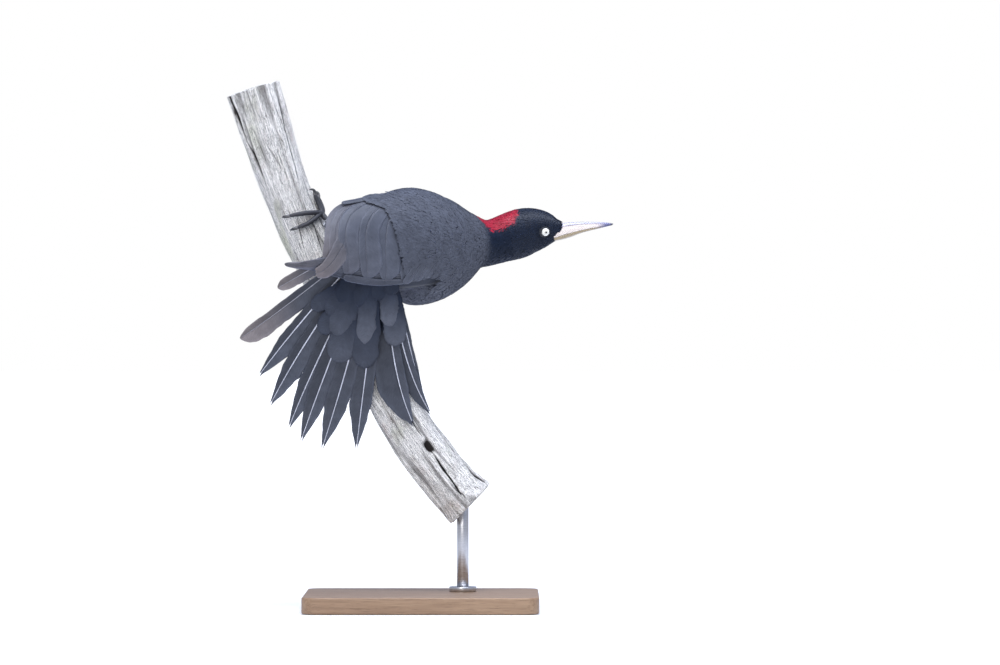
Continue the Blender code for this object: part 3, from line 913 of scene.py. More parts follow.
@dataclass(frozen=True)
class EyeFinish:
    """The eye: colour stored on the ball, under a wet clear coat."""

    name: str = "eye_wet"

    def make(self) -> bpy.types.Material:
        """The material. Fine spokes run out from the pupil, along the ball's own barbs map."""
        gloss = {"Specular_IOR_Level": 0.6, "Coat_Weight": 1.0, "Coat_Roughness": 0.02}
        recipe = Recipe(self.name, Roughness=0.18, **gloss)
        spokes = recipe.fibres(*recipe.barbs(), 9.0, 0.8, rough=0.5)
        recipe.tinted(recipe.graded(spokes, 0.9, 1.06))
        return recipe.material


@dataclass(frozen=True)
class SkinFinish:
    """The skin under the coat: a stored colour, downy and dull."""

    name: str = "skin_down"

    def make(self) -> bpy.types.Material:
        """The material."""
        recipe = Recipe(self.name, Sheen_Weight=0.15, Specular_IOR_Level=0.3)
        down = recipe.noise(recipe.place(), 900.0, 4.0, 0.65)
        recipe.tinted(recipe.graded(down, 0.7, 1.1))
        recipe.roughness(recipe.graded(down, 0.6, 0.85))
        recipe.bump(down, 0.6, 0.0006)
        return recipe.material


@dataclass(frozen=True)
class ScaleFinish:
    """Bare leg and toe skin: grey scutes with darker grooves between them."""

    name: str = "leg_scutes"
    light: tuple = (0.40, 0.41, 0.43)
    dark: tuple = (0.035, 0.035, 0.040)

    def make(self) -> bpy.types.Material:
        """The material: Glow is 1 on a scute's face and 0 in the groove between two."""
        recipe = Recipe(self.name, Specular_IOR_Level=0.45)
        grain = recipe.noise(recipe.place(), 1400.0, 4.0)
        cells = recipe.node("ShaderNodeTexVoronoi", feature="DISTANCE_TO_EDGE")
        recipe.feed(cells.inputs["Vector"], recipe.place())
        cells.inputs["Scale"].default_value = 1100.0
        face = recipe.times(recipe.attribute("Glow", "Fac"), recipe.graded(grain, 0.5, 1.0))
        recipe.colour(recipe.mix(face, self.dark, self.light))
        recipe.roughness(recipe.graded(grain, 0.42, 0.65))
        scutes = recipe.spread(cells.outputs["Distance"], 0.0, 0.15, 0.0, 1.0)
        recipe.bump(recipe.math("ADD", scutes, grain), 0.35, 0.0002)
        return recipe.material


@dataclass(frozen=True)
class WeatheredWoodFinish:
    """Old bare wood: silver grey, split along the grain, with tints of lichen.

    Glow is 0 on the surface and rises to 1 at the bottom of a crack, where the colour is darkened to
    near black as painted shade.
    """

    name: str = "weathered_branch"
    bare: tuple = (
        (0.33, (0.12, 0.10, 0.08)),
        (0.38, (0.60, 0.56, 0.50)),
        (0.43, (1.0, 0.97, 0.91)),
    )

    def make(self) -> bpy.types.Material:
        """The material."""
        recipe = Recipe(self.name, Specular_IOR_Level=0.2)
        sizes = ((0.9, 0.045, 6.0), (3.2, 0.10, 4.0), (0.55, 0.018, 5.0), (1.2, 0.04, 4.0))
        x, y = recipe.barbs()
        grain, thread, splits, hairs = (recipe.fibres(x, y, *size, rough=0.68) for size in sizes)
        patches = recipe.noise(recipe.place(), 40.0, 6.0, 0.65)
        lichen = recipe.noise(recipe.stretch(recipe.place(), (1.0, 1.4, 0.6)), 21.0, 4.0, 0.6)
        blush = recipe.noise(recipe.stretch(recipe.place(), (1.3, 0.8, 0.9)), 27.0, 4.0, 0.6)
        wood = recipe.ramp(grain, self.bare)
        for marks, low, high, start, end, tone in (
            (patches, 0.58, 0.68, 0.0, 0.5, (0.40, 0.38, 0.35)),
            (lichen, 0.54, 0.68, 0.0, 0.55, (0.47, 0.49, 0.30)),
            (blush, 0.56, 0.70, 0.0, 0.4, (0.60, 0.45, 0.38)),
            (thread, 0.27, 0.34, 0.9, 0.0, (0.08, 0.07, 0.06)),
        ):
            wood = recipe.mix(recipe.spread(marks, low, high, start, end), wood, tone)
        # Painted shade: thin splits too fine to model are drawn as near-black lines.
        for lines, level in ((splits, 0.5), (splits, 0.42), (hairs, 0.47)):
            narrow = recipe.math("ABSOLUTE", recipe.math("SUBTRACT", lines, level))
            narrow = recipe.spread(narrow, 0.006, 0.015, 0.95, 0.0)
            wood = recipe.mix(narrow, wood, (0.03, 0.025, 0.02))
        # Painted shade: the wood turns near black down in the cracks, the knot hole and the furrows.
        deep = recipe.spread(recipe.attribute("Glow", "Fac"), 0.05, 0.6, 0.0, 1.0)
        recipe.colour(recipe.mix(deep, wood, (0.035, 0.03, 0.028)))
        recipe.roughness(recipe.graded(grain, 0.95, 0.78))
        recipe.bump(recipe.math("ADD", recipe.times(thread, 0.6), grain), 0.9, 0.0019)
        return recipe.material


@dataclass(frozen=True)
class BoardFinish:
    """The stand's board: oiled hardwood with long grain along X."""

    name: str = "oiled_board"

    def make(self) -> bpy.types.Material:
        """The material."""
        recipe = Recipe(self.name, Specular_IOR_Level=0.4, Coat_Weight=0.12, Coat_Roughness=0.35)
        sizes = ((5, 40, 4.0), (14, 420, 4.0), (60, 1500, 2.0))
        place = recipe.place()
        warp, grain, pores = (
            recipe.noise(recipe.stretch(place, (along, over, over)), 1.0, detail, 0.6)
            for along, over, detail in sizes
        )
        wood = recipe.mix(recipe.graded(warp, 0.0, 1.0), (0.25, 0.150, 0.085), (0.36, 0.235, 0.14))
        wood = recipe.mix(recipe.spread(grain, 0.35, 0.6, 0.45, 0.0), wood, (0.17, 0.095, 0.05))
        wood = recipe.mix(recipe.spread(pores, 0.32, 0.42, 0.5, 0.0), wood, (0.10, 0.055, 0.03))
        recipe.colour(wood)
        recipe.roughness(recipe.spread(pores, 0.3, 0.6, 0.55, 0.38))
        recipe.bump(pores, 0.25, 0.0003)
        return recipe.material


@dataclass(frozen=True)
class BrushedSteelFinish:
    """The rod and its collar: brushed stainless steel."""

    name: str = "brushed_steel"

    def make(self) -> bpy.types.Material:
        """The material."""
        recipe = Recipe(self.name, Metallic=1.0)
        lines = recipe.noise(recipe.stretch(recipe.place(), (120, 120, 5200)), 1.0, 2.0, 0.6)
        recipe.colour(recipe.mix(lines, (0.46, 0.46, 0.47), (0.62, 0.62, 0.63)))
        recipe.roughness(recipe.graded(lines, 0.24, 0.4))
        recipe.bump(lines, 0.15, 0.0001)
        return recipe.material


# ---------------------------------------------------------------------------------------------
# Markings and skin


@dataclass(frozen=True)
class Markings:
    """The bird's colours by place, shared by skin and coat.

    Attributes:
        slate: the body's feathers.
        night: the head's and neck's, and the painted shade near the tail's root.
        red: the hind crown and nape.
        brown: worn tips of the flight feathers.
        patch: for stations along the nape, the half-angle of the red patch in degrees.
    """

    slate: tuple = (0.071, 0.078, 0.098)
    night: tuple = (0.0055, 0.011, 0.025)
    red: tuple = (0.33, 0.009, 0.027)
    brown: tuple = (0.18, 0.158, 0.155)
    patch: tuple = (
        (8.2, -6.0), (8.5, 20.0), (9.0, 33.0), (10.0, 43.0), (11.1, 44.0), (11.5, 30.0),
        (11.7, -6.0),
    )

    def body(self, at: Array, turn: Array, ragged: Array | float = 0.0) -> Array:
        """The colour at a station and turn of the body.

        Args:
            at: stations.
            turn: turns from the back's midline, in radians.
            ragged: degrees by which each place strays over the patch's edge.

        Returns:
            Linear colours, one row for each place.
        """
        at, turn = np.broadcast_arrays(np.asarray(at, float), np.asarray(turn, float))
        # The head and neck are near-black night; near the tail's root the trunk is darkened to 0.85
        # night as painted shade under the wings.
        night = np.maximum(eased(7.9, 9.2, at), 0.85 * (1 - eased(1.9, 3.0, at)))[..., None]
        found = (1 - night) * np.array(self.slate) + night * np.array(self.night)
        away = np.degrees(np.abs((turn + math.pi) % (2 * math.pi) - math.pi))
        stations, angles = zip(*self.patch, strict=True)
        inside = np.interp(at, stations, angles) + ragged - away
        red = eased(-2.0, 2.0, inside)[..., None]
        return (1 - red) * found + red * np.array(self.red)


@dataclass
class EyeForm:
    """Where an eye sits: its ball, set into the head's side, and the way it looks."""

    side: int
    body: BodyForm = field(default_factory=BodyForm)
    station: float = 12.92
    turn: float = 86.0
    radius: float = 5.2
    set_in: float = 3.2
    opening: float = 4.3

    def place(self) -> tuple[Array, Array, Array]:
        """The ball's centre, the way out of the head and the way to the bill."""
        at, turn = np.array(self.station), np.array(self.side * math.radians(self.turn))
        _, right, back, _ = self.body.frames(at)
        out = unit(math.sin(turn) * right + math.cos(turn) * back)
        ahead = unit(np.cross(right, back)) * -1.0
        return self.body.point(at, turn) - self.set_in * out, out, ahead

    def away(self, points: Array) -> Array:
        """How far points lie from the eye's axis; points on the head's other side are far."""
        centre, out, _ = self.place()
        offset = points - centre
        depth = offset @ out
        radial = np.linalg.norm(offset - depth[..., None] * out, axis=-1)
        return np.where(depth > -1.0, radial, 99.0)


@dataclass
class LegForm:
    """One leg's measures: its hip and ankle, its heel on the branch and its toes' steps."""

    side: str
    hip: tuple
    ankle: tuple
    heel: tuple
    toes: dict
    toe_radius: float = 2.3
    claw_length: float = 9.0
    perch: PerchForm = field(default_factory=PerchForm)

    @property
    def stand_off(self) -> float:
        """How far a toe's middle line lies above the wood."""
        return self.toe_radius + 0.9

    def toe_path(self, name: str, rows: int) -> Array:
        """Places along a toe's middle: a smooth line of stations and angles on the branch."""
        spots = np.array([(0.0, 0.0), *self.toes[name]]) + np.array(self.heel)
        where = smooth(spots, np.linspace(0, len(spots) - 1, rows))
        return self.perch.point(where[:, 0], np.radians(where[:, 1]), self.stand_off)

    def heel_place(self) -> Array:
        """The place where the toes meet."""
        return self.toe_path("hind", 4)[0]

    def claw_path(self, name: str, rows: int) -> Array:
        """A claw's middle line: it goes on from its toe, arches and hooks down to the wood.

        Args:
            name: which toe.
            rows: how many places.

        Returns:
            The places from root to tip.
        """
        toe = self.toe_path(name, 7)
        way = unit(toe[-1] - toe[-2])
        stations = np.linspace(0, self.perch.last, 400)
        middle = self.perch.frames(stations)[0]
        out = toe[-1] - middle[np.argmin(np.linalg.norm(middle - toe[-1], axis=1))]
        out = unit(out - (out @ way) * way)
        share = np.linspace(0, 1, rows)[:, None]
        lift = 1.9 * np.sin(math.pi * share) - 2.9 * share**2
        reach = 0.8 * self.claw_length * np.sin(0.5 * math.pi * share) - 0.8
        return toe[-1] + way * reach + out * lift


LEGS = (
    LegForm(
        "left",
        hip=(-48, 34, 374),
        ankle=(-82, 2, 381),
        heel=(1.52, 74),
        toes={
            "outer": ((-0.02, -20), (-0.07, -56), (-0.11, -90)),
            "second": ((-0.05, 6), (-0.16, 8), (-0.24, 5)),
            "third": ((-0.03, 16), (-0.11, 26), (-0.20, 30)),
            "hind": ((0.01, -20), (0.05, -52), (0.05, -84)),
        },
    ),
    LegForm(
        "right",
        hip=(-36, 18, 338),
        ankle=(-43, 3, 306),
        heel=(2.48, 84),
        toes={
            "outer": ((0.0, -18), (-0.02, -50), (-0.05, -80)),
            "second": ((-0.05, 6), (-0.14, 8), (-0.22, 5)),
            "third": ((-0.03, 16), (-0.11, 28), (-0.19, 38)),
            "hind": ((0.04, 16), (0.11, 28), (0.17, 30)),
        },
    ),
)


@dataclass
class Skin:
    """One closed skin from the tail's root to the bill and down both legs.

    Attributes:
        body: the trunk's and head's outer face.
        wings: the wings' outer faces.
        eyes: where the eyes sit.
        legs: where the legs run.
        markings: the colours.
        depth: for stations along the body, how far the skin lies under the coat's outer face.
        lid: the bare lid's colour.
        rings: how many rings the trunk and the head have.
        sides: how many points a ring has.
        neck: the station where the head's closer rings start.
    """

    body: BodyForm
    wings: Sequence[WingForm]
    eyes: Sequence[EyeForm]
    legs: Sequence[LegForm]
    markings: Markings
    depth: tuple = (
        (0.0, 1.2), (1.5, 2.0), (4.0, 2.4), (7.5, 2.2), (9.0, 1.7), (10.6, 1.2), (13.0, 1.0),
        (15.0, 0.5),
    )
    lid: tuple = (0.030, 0.032, 0.040)
    rings: tuple = (86, 104)
    sides: int = 260
    neck: float = 10.4

    def trunk(self) -> Patch:
        """Trunk, neck and head: the body's oval, set in by the coat's depth, with the lids.

        Round each eye the skin rises by a bell curve over the lid's rim, dips in a wider one
        outside it, and a shallow crease runs back from the gape.
        """
        at = np.concatenate([
            np.linspace(0.0, self.neck, self.rings[0], endpoint=False),
            np.linspace(self.neck, self.body.last, self.rings[1]),
        ])[:, None]
        turn = np.linspace(-math.pi, math.pi, self.sides, endpoint=False)
        at, turn = np.broadcast_arrays(at, turn)
        sink = -np.interp(at, *zip(*self.depth, strict=True))
        outer = self.body.point(at, turn)
        for eye in self.eyes:
            away = eye.away(outer)
            sink = sink + 1.75 * np.exp(-(((away - 4.95) / 0.8) ** 2))
            sink = sink - 0.45 * np.exp(-(((away - 7.4) / 1.5) ** 2))
        degrees = np.degrees(np.abs(turn))
        crease = np.exp(-(((degrees - 108) / 5.0) ** 2)) * eased(12.9, 13.6, at)
        points = self.body.point(at, turn, sink - 0.5 * crease)
        colour = self.markings.body(at, turn)
        lids = np.min([eye.away(outer) for eye in self.eyes], axis=0)
        rim = (1 - eased(5.6, 6.6, lids))[..., None]
        colour = (1 - rim) * colour + rim * np.array(self.lid)
        faces = tube_faces(len(at), self.sides)
        return Patch(points.reshape(-1, 3), faces, colour.reshape(-1, 3))

    def wing_flesh(self, form: WingForm) -> Patch:
        """A folded arm: the wing's shell from shoulder to wrist, under its feathers."""
        rows, columns = 40, 24
        (first, last), (low, high) = (0.25, 7.0), (0.04, 0.98)
        spans = np.linspace(first, last, rows), np.linspace(low, high, columns)
        a, b = np.meshgrid(*spans, indexing="ij")
        thick = np.interp(a, (first, 5.0, last), (10.5, 8.5, 2.0))
        rim = np.clip(np.minimum(b - low, high - b) * 6, 0, 1) * np.clip((a - first) * 2.5, 0, 1)
        outer = form.point(a, b, -3.4 - 1.5 * (1 - rim))
        inner = form.point(a, b, -3.6 - thick * (0.35 + 0.65 * rim))
        patch = closed_sheet(outer, inner)
        patch.colour = self.shadow(len(patch.points))
        return patch

    def shadow(self, count: int) -> Array:
        """The limbs' colour under their feathers, for so many points."""
        return np.zeros((count, 3)) + np.array(self.markings.slate) * 0.8

    def thigh(self, leg: LegForm) -> Patch:
        """A thigh's flesh, a cone from hip to ankle inside its feathers."""
        rows, sides = 26, 32
        spans = np.linspace(-0.1, 1.06, rows), np.linspace(0, 2 * math.pi, sides, endpoint=False)
        a, b = np.meshgrid(*spans, indexing="ij")
        points = ThighForm(leg.hip, leg.ankle).point(a, b, -1.6)
        return Patch(points.reshape(-1, 3), tube_faces(rows, sides), self.shadow(a.size))

    def build(self) -> bpy.types.Object:
        """The skin: trunk, arms, thighs, shanks and toes united into one closed surface."""
        finishes = SkinFinish().make(), ScaleFinish().make()
        trunk = self.trunk()
        flesh = [*map(self.wing_flesh, self.wings), *map(self.thigh, self.legs)]
        bare = [limb for leg in self.legs for limb in Foot(leg).limbs()]
        for patch in (trunk, *flesh, *bare):
            scaly = patch.glow is not None
            patch.slots = np.full(len(patch.faces), int(scaly))
            patch.barbs = None
            patch.glow = patch.glow if scaly else np.zeros(len(patch.points))
        limbs = ("wing", "thigh", "tarsus", "foot")
        nodes = ["rump", "trunk", "neck", "head"]
        nodes += [f"{part}_{side}" for part in limbs for side in ("right", "left")]
        skin = make_piece("skin", trunk, finishes, nodes)
        unite(skin, Patch.join([*flesh, *bare]), finishes)
        return skin


def unite(target: bpy.types.Object, patch: Patch, materials: Sequence[bpy.types.Material]) -> None:
    """Unites a closed patch with an object's mesh, so that one surface runs over both.

    Args:
        target: the object whose mesh takes the patch in.
        patch: closed shapes that cross it.
        materials: the materials that both have.
    """
    mesh = bpy.data.meshes.new("limb")
    mesh.from_pydata((patch.points * MM).tolist(), [], patch.faces.tolist())
    set_values(mesh, patch, materials)
    tool = add_object("limb", mesh)
    cut = target.modifiers.new("Unite", "BOOLEAN")
    cut.operation, cut.solver, cut.use_self, cut.object = "UNION", "EXACT", True, tool
    bpy.context.view_layer.update()
    seen = target.evaluated_get(bpy.context.evaluated_depsgraph_get())
    whole = bpy.data.meshes.new_from_object(seen)
    target.modifiers.remove(cut)
    old, target.data = target.data, whole
    bpy.data.objects.remove(tool)
    bpy.data.meshes.remove(old)
    bpy.data.meshes.remove(mesh)


# ---------------------------------------------------------------------------------------------
# Small feathers


@dataclass(frozen=True)
class Leaf:
    """One small feather: a thin closed sheet with a ragged tip.

    Attributes:
        along: shares of the length at which it has points.
        across: shares of the half-width at which it has points.
        outline: half-width by share of the length.
    """

    along: tuple = (0.0, 0.5, 0.965, 1.0)
    across: tuple = (-1.0, -0.93, 0.0, 0.93, 1.0)
    outline: tuple = ((0.0, 0.40), (0.35, 0.95), (0.6, 1.0), (0.965, 0.52), (1.0, 0.38))

    def grid(self) -> tuple[Array, Array, Array, Array, Array]:
        """Across, along, side (1 above, -1 below, 0 at the rim) and column for each point, and
        the faces. The two sides share the rim's points."""
        rows, columns = len(self.along), len(self.across)
        along, across = np.meshgrid(self.along, self.across, indexing="ij")
        column = np.tile(np.arange(columns), (rows, 1))
        inner = np.zeros((rows, columns), bool)
        inner[1:-1, 1:-1] = True
        top = np.arange(rows * columns).reshape(rows, columns)
        below = top.copy()
        below[inner] = rows * columns + np.arange(inner.sum())

        def quads(index: Array) -> Array:
            """Faces between a grid's neighbours."""
            parts = (index[:-1, :-1], index[:-1, 1:], index[1:, 1:], index[1:, :-1])
            return np.stack([p.ravel() for p in parts], 1)

        faces = np.concatenate([quads(top), quads(below)[:, ::-1]])
        sides = np.concatenate([np.where(inner, 1.0, 0.0).ravel(), -np.ones(inner.sum())])
        both = (np.concatenate([values.ravel(), values[inner]]) for values in (across, along, column))
        return (*both, sides, faces)


def scatter(
    face: Face,
    first: float,
    last: float,
    row: float,
    gap: float,
    ends: tuple,
    random: np.random.Generator,
) -> tuple[Array, Array]:
    """Staggered, jittered places on a face, evenly spaced by length.

    Args:
        face: the face.
        first: where the rows start, as its first parameter.
        last: where they end.
        row: how far apart the rows are, in millimetres.
        gap: how far apart the places of a row are.
        ends: the second parameter's two ends, each a number or a function of the first.
        random: where the jitter is drawn from.

    Returns:
        Both parameters of each place.
    """
    low, high = (end if callable(end) else (lambda at, end=end: end + 0 * at) for end in ends)
    line = np.linspace(first, last, 300)
    run = run_of(face.point(line, 0.5 * (low(line) + high(line))))
    rows = np.interp(np.arange(0, run[-1], row), run, line)
    share = np.linspace(0, 1, 90)
    b = low(rows)[:, None] + (high(rows) - low(rows))[:, None] * share
    ring = face.point(rows[:, None] + 0 * b, b)
    steps = np.linalg.norm(np.diff(ring, axis=1), axis=2)
    reach = np.concatenate([0 * rows[:, None], np.cumsum(steps, 1)], 1)
    found_a, found_b = [], []
    for number, at in enumerate(rows):
        count = max(4, round(reach[number, -1] / gap))
        where = (np.arange(count) + 0.5 * (number % 2) + random.uniform(-0.3, 0.3, count)) / count
        found_b.append(np.interp(where * reach[number, -1], reach[number], b[number]))
        found_a.append(at + random.uniform(-0.35, 0.35, count) * row * (last - first) / run[-1])
    return np.concatenate(found_a), np.concatenate(found_b)


@dataclass
class Plumes:
    """Many small feathers at once: one entry for each in every array.

    Attributes:
        a: where the root lies on the face.
        b: the other parameter of the root.
        heading: turn of the lie, in radians, from the way in which a falls.
        length: how long it is.
        width: half its width.
        root: how far the root is lifted off the face.
        rise: how much higher its tip lies.
        colour: linear colour, one row each.
        bake: the root's place on the map, one row each.
        uneven: how much one is lighter or darker than the next.
    """

    a: Array
    b: Array
    heading: Array
    length: Array
    width: Array
    root: Array
    rise: Array
    colour: Array
    bake: Array
    uneven: float = 0.05

    def keep(self, chosen: Array) -> Plumes:
        """The feathers chosen by a mask."""
        values = list(self.__dict__.values())
        return Plumes(*(value[chosen] for value in values[:-1]), values[-1])

    CROWN = 0.045  # how far the middle stands over the edges, as a share of the width

    def lay(self, face: Face, leaf: Leaf, seed: int, fray: float = 0.16) -> Patch:
        """Lays the feathers on a face.

        Each point moves from its root by along * length on the lie and across * width * outline
        beside it, is lifted by root + rise * along, and follows the face's own curve. Each column
        of points is cut short at random, by up to twice the fray's share at the rim.

        Args:
            face: what they lie on.
            leaf: the shape of one.
            seed: for the random draws.
            fray: how ragged the tips are.

        Returns:
            All of them as one patch.
        """
        random = np.random.default_rng(seed)
        across, along, column, side, faces = leaf.grid()
        count, size = len(self.a), len(across)
        by_a, by_b, out = face.axes(self.a, self.b)
        back = unit(-by_a + (by_a * out).sum(-1, keepdims=True) * out)
        beside = np.cross(back, out)
        way = np.cos(self.heading)[:, None] * back + np.sin(self.heading)[:, None] * beside
        over = np.cross(way, out)
        outline = np.interp(along, *zip(*leaf.outline, strict=True))
        cut = random.uniform(0, 1, (count, len(leaf.across))) + np.abs(leaf.across) ** 2
        y = self.length[:, None] * along * (1 - fray * cut[:, column] * along**2)
        bend = random.normal(0, 0.10, (count, 1)) * along**2
        x = self.width[:, None] * (across * outline) + bend * self.length[:, None]
        move = y[..., None] * way[:, None] + x[..., None] * over[:, None]
        da, db = face.shift(by_a[:, None], by_b[:, None], move)
        thick = 0.05 + 0.02 * self.width[:, None]
        lift = self.root[:, None] + self.rise[:, None] * along
        arch = (1 - across**2) * np.sin(math.pi * (0.15 + 0.7 * along))
        lift = lift + self.CROWN * self.width[:, None] * arch + thick * side
        points = face.point(self.a[:, None] + da, self.b[:, None] + db, lift)
        # Painted shade: each feather darkens slightly towards its root, where it lies under the next,
        # times a random tone of its own.
        shade = (0.95 + 0.06 * along) * random.normal(1.0, self.uneven, (count, 1))
        colour = self.colour[:, None] * shade[..., None]
        bake = self.bake[:, None] + PATCH * stacked(across / 2, along - 0.5)
        start = random.uniform(0, 400, (count, 1))
        barbs = np.stack([x, y + start], -1)
        _, _, lie = face.axes(self.a + da.mean(axis=1), self.b + db.mean(axis=1))
        return Patch(
            points.reshape(-1, 3),
            (faces + size * np.arange(count)[:, None, None]).reshape(-1, 4),
            np.clip(colour, 0, 1).reshape(-1, 3),
            barbs.reshape(-1, 2),
            bake[:, faces].reshape(-1, 4, 2),
            lie=(lie[:, None] * np.where(side < 0, -1.0, 1.0)[:, None]).reshape(-1, 3),
        )


@dataclass(frozen=True)
class Tract:
    """A tract of the body's small feathers, between two stations.

    Attributes:
        name: the piece's name.
        first: where it starts, nearer the tail.
        last: where it ends, nearer the bill.
        row: how far apart its rows are.
        gap: how far apart the feathers of a row are.
        length: the feathers' length at the tract's start and end.
        width: their half-width at the start and end.
        root: the roots' lift at the start and end.
        rise: the tips' height above the roots at the start and end.
        ruffle: how much the lie strays, in radians.
        pieces: how many pieces it is made in.
    """

    name: str
    first: float
    last: float
    row: float
    gap: float
    length: tuple
    width: tuple
    root: tuple
    rise: tuple
    ruffle: float = 0.10
    pieces: int = 2

    def plumes(self, body: BodyForm, markings: Markings, seed: int) -> Plumes:
        """Roots in staggered rows round the body, jittered by a part of their spacing.

        Args:
            body: what they grow on.
            markings: their colours.
            seed: for the jitter.

        Returns:
            The tract's feathers.
        """
        random = np.random.default_rng(seed)
        a, b = scatter(body, self.first, self.last, self.row, self.gap, (-math.pi, math.pi), random)
        share = (a - self.first) / (self.last - self.first)

        def graded(pair: tuple) -> Array:
            """From the pair's first value to its second along the tract."""
            return pair[0] + (pair[1] - pair[0]) * np.clip(share, 0, 1)

        return Plumes(
            a,
            b,
            random.normal(0, self.ruffle, len(a)),
            graded(self.length) * random.uniform(0.88, 1.12, len(a)),
            graded(self.width) * random.uniform(0.9, 1.1, len(a)),
            graded(self.root) + random.normal(0, 0.07, len(a)),
            graded(self.rise) * random.uniform(0.8, 1.2, len(a)),
            markings.body(a, b, random.normal(0, 3.0, len(a))),
            np.stack([(b / (2 * math.pi) + 0.5) % 1.0, a], -1),
        )


@dataclass
class Coat:
    """The small feathers of trunk, neck, head and thighs."""

    body: BodyForm
    wings: Sequence[WingForm]
    eyes: Sequence[EyeForm]
    legs: Sequence[LegForm]
    markings: Markings
    tracts: tuple = (
        Tract(
            "coat_trunk", 0.15, 8.6, 2.7, 1.9, (17, 13), (1.75, 1.4), (-0.6, -0.7), (0.5, 0.55),
            ruffle=0.08, pieces=3,
        ),
        Tract("coat_neck", 8.2, 10.9, 2.1, 1.5, (11, 8.5), (1.25, 0.95), (-0.7, -0.6), (0.6, 0.5)),
        Tract("coat_head", 10.6, 14.1, 1.4, 1.0, (7.0, 4.2), (0.8, 0.5), (-0.5, -0.4), (0.42, 0.35)),
    )
    bare: tuple = (-100, 28)  # how far along the trunk a wing hides it, from its centre
    overlap: tuple = (6, 14)  # degrees by which the coat runs in under a wing's two edges

    def under_wing(self, points: Array) -> Array:
        """Whether points of the trunk lie well inside a folded wing's cover."""
        covered = np.zeros(len(points), bool)
        for wing in self.wings:
            forwards, right, back = wing.trunk_axes()
            offset = points - np.array(wing.centre)
            ahead, side, high = (offset @ way for way in (forwards, wing.side * right, back))
            angle = np.degrees(np.arctan2(side, high))
            table = np.array(wing.table, float)[::-1]
            upper = np.interp(ahead, table[:, 0], table[:, 3]) + self.overlap[0]
            lower = np.interp(ahead, table[:, 0], table[:, 4]) - self.overlap[1] - wing.tuck[5]
            hidden = (ahead > self.bare[0]) & (ahead < self.bare[1])
            covered |= hidden & (angle > upper) & (angle < lower)
        return covered

    def build(self) -> None:
        """Lays every tract."""
        kinds = (
            FeatherFinish("feathers_body", streak=0.25),
            FeatherFinish("feathers_neck", streak=0.35, rough=0.45, gloss=0.15),
            FeatherFinish("feathers_head", streak=0.45, rough=0.38, sheen=0.1),
        )
        finishes = [kind.make() for kind in kinds]
        for number, tract in enumerate(self.tracts):
            plumes = tract.plumes(self.body, self.markings, SEED + number)
            roots = self.body.point(plumes.a, plumes.b)
            keep = ~self.under_wing(roots) & ((plumes.a > 1.9) | (np.cos(plumes.b) < 0.1))
            for eye in self.eyes:
                away = eye.away(roots)
                keep &= away > eye.opening + 1.5
                near = np.clip((away - eye.opening) / 6.0, 0.45, 1.0)
                plumes.length = plumes.length * near
                plumes.width = plumes.width * (0.4 + 0.6 * near)
            for part, chosen in enumerate(np.array_split(np.flatnonzero(keep), tract.pieces)):
                part_of = plumes.keep(chosen)
                low, high = part_of.bake.min(axis=0), part_of.bake.max(axis=0)
                part_of.bake = map_place(*((part_of.bake - low) / (high - low)).T)
                patch = part_of.lay(self.body, Leaf(), SEED + 50 + 7 * number + part)
                make_piece(f"{tract.name}_{part + 1}", patch, (finishes[number],))
        self.thighs(finishes[0])
        self.bristles(finishes[-1])

    def thighs(self, finish: bpy.types.Material) -> None:
        """Soft feathers down both thighs, to the bare shank."""
        found = []
        for number, leg in enumerate(self.legs):
            random = np.random.default_rng(SEED + 80 + number)
            form = ThighForm(leg.hip, leg.ankle)
            a, b = scatter(form, 0.02, 1.0, 2.6, 2.6, (0.0, 2 * math.pi), random)
            count = len(a)
            plumes = Plumes(
                a,
                b,
                math.pi + random.normal(0, 0.15, count),
                10.0 - 3.5 * a + random.normal(0, 0.5, count),
                2.4 - 0.9 * a,
                -1.0 + random.normal(0, 0.08, count),
                1.1 + random.normal(0, 0.15, count),
                np.zeros((count, 3)) + np.array(self.markings.slate) * 0.95,
                map_place(0.5 * number + 0.48 * (b / (2 * math.pi) % 1.0), a),
            )
            found.append(plumes.lay(form, Leaf(), SEED + 90 + number, fray=0.4))
        make_piece("coat_thighs", Patch.join(found), (finish,))

    def bristles(self, finish: bpy.types.Material) -> None:
        """Stiff narrow feathers that point forwards over the nostrils and along the gape."""
        random = np.random.default_rng(SEED + 70)
        count, first, last = 700, 13.3, 14.5
        side = np.where(np.arange(count) % 2 == 0, 1.0, -1.0)
        turn = side * np.radians(random.uniform(0, 92, count))
        at = random.uniform(first, last, count)
        plumes = Plumes(
            at,
            turn,
            math.pi + side * random.normal(0.04, 0.08, count),
            random.uniform(6.0, 10.5, count) * (1 - 0.4 * np.abs(turn) / 1.75),
            random.uniform(0.40, 0.60, count),
            np.full(count, -0.5),
            random.uniform(0.2, 0.9, count),
            self.markings.body(at, turn) * 1.25,
            map_place(0.5 + turn / math.pi * 0.88, (at - first) / 1.2),
        )
        narrow = Leaf(outline=((0, 0.8), (0.5, 1.0), (1.0, 0.2)))
        patch = plumes.lay(self.body, narrow, SEED + 71)
        make_piece("bristles", patch, (finish,))


# ---------------------------------------------------------------------------------------------
# Large feathers


class Tip(Enum):
    """How a large feather ends."""

    ROUNDED = "rounded"
    FORKED = "forked"


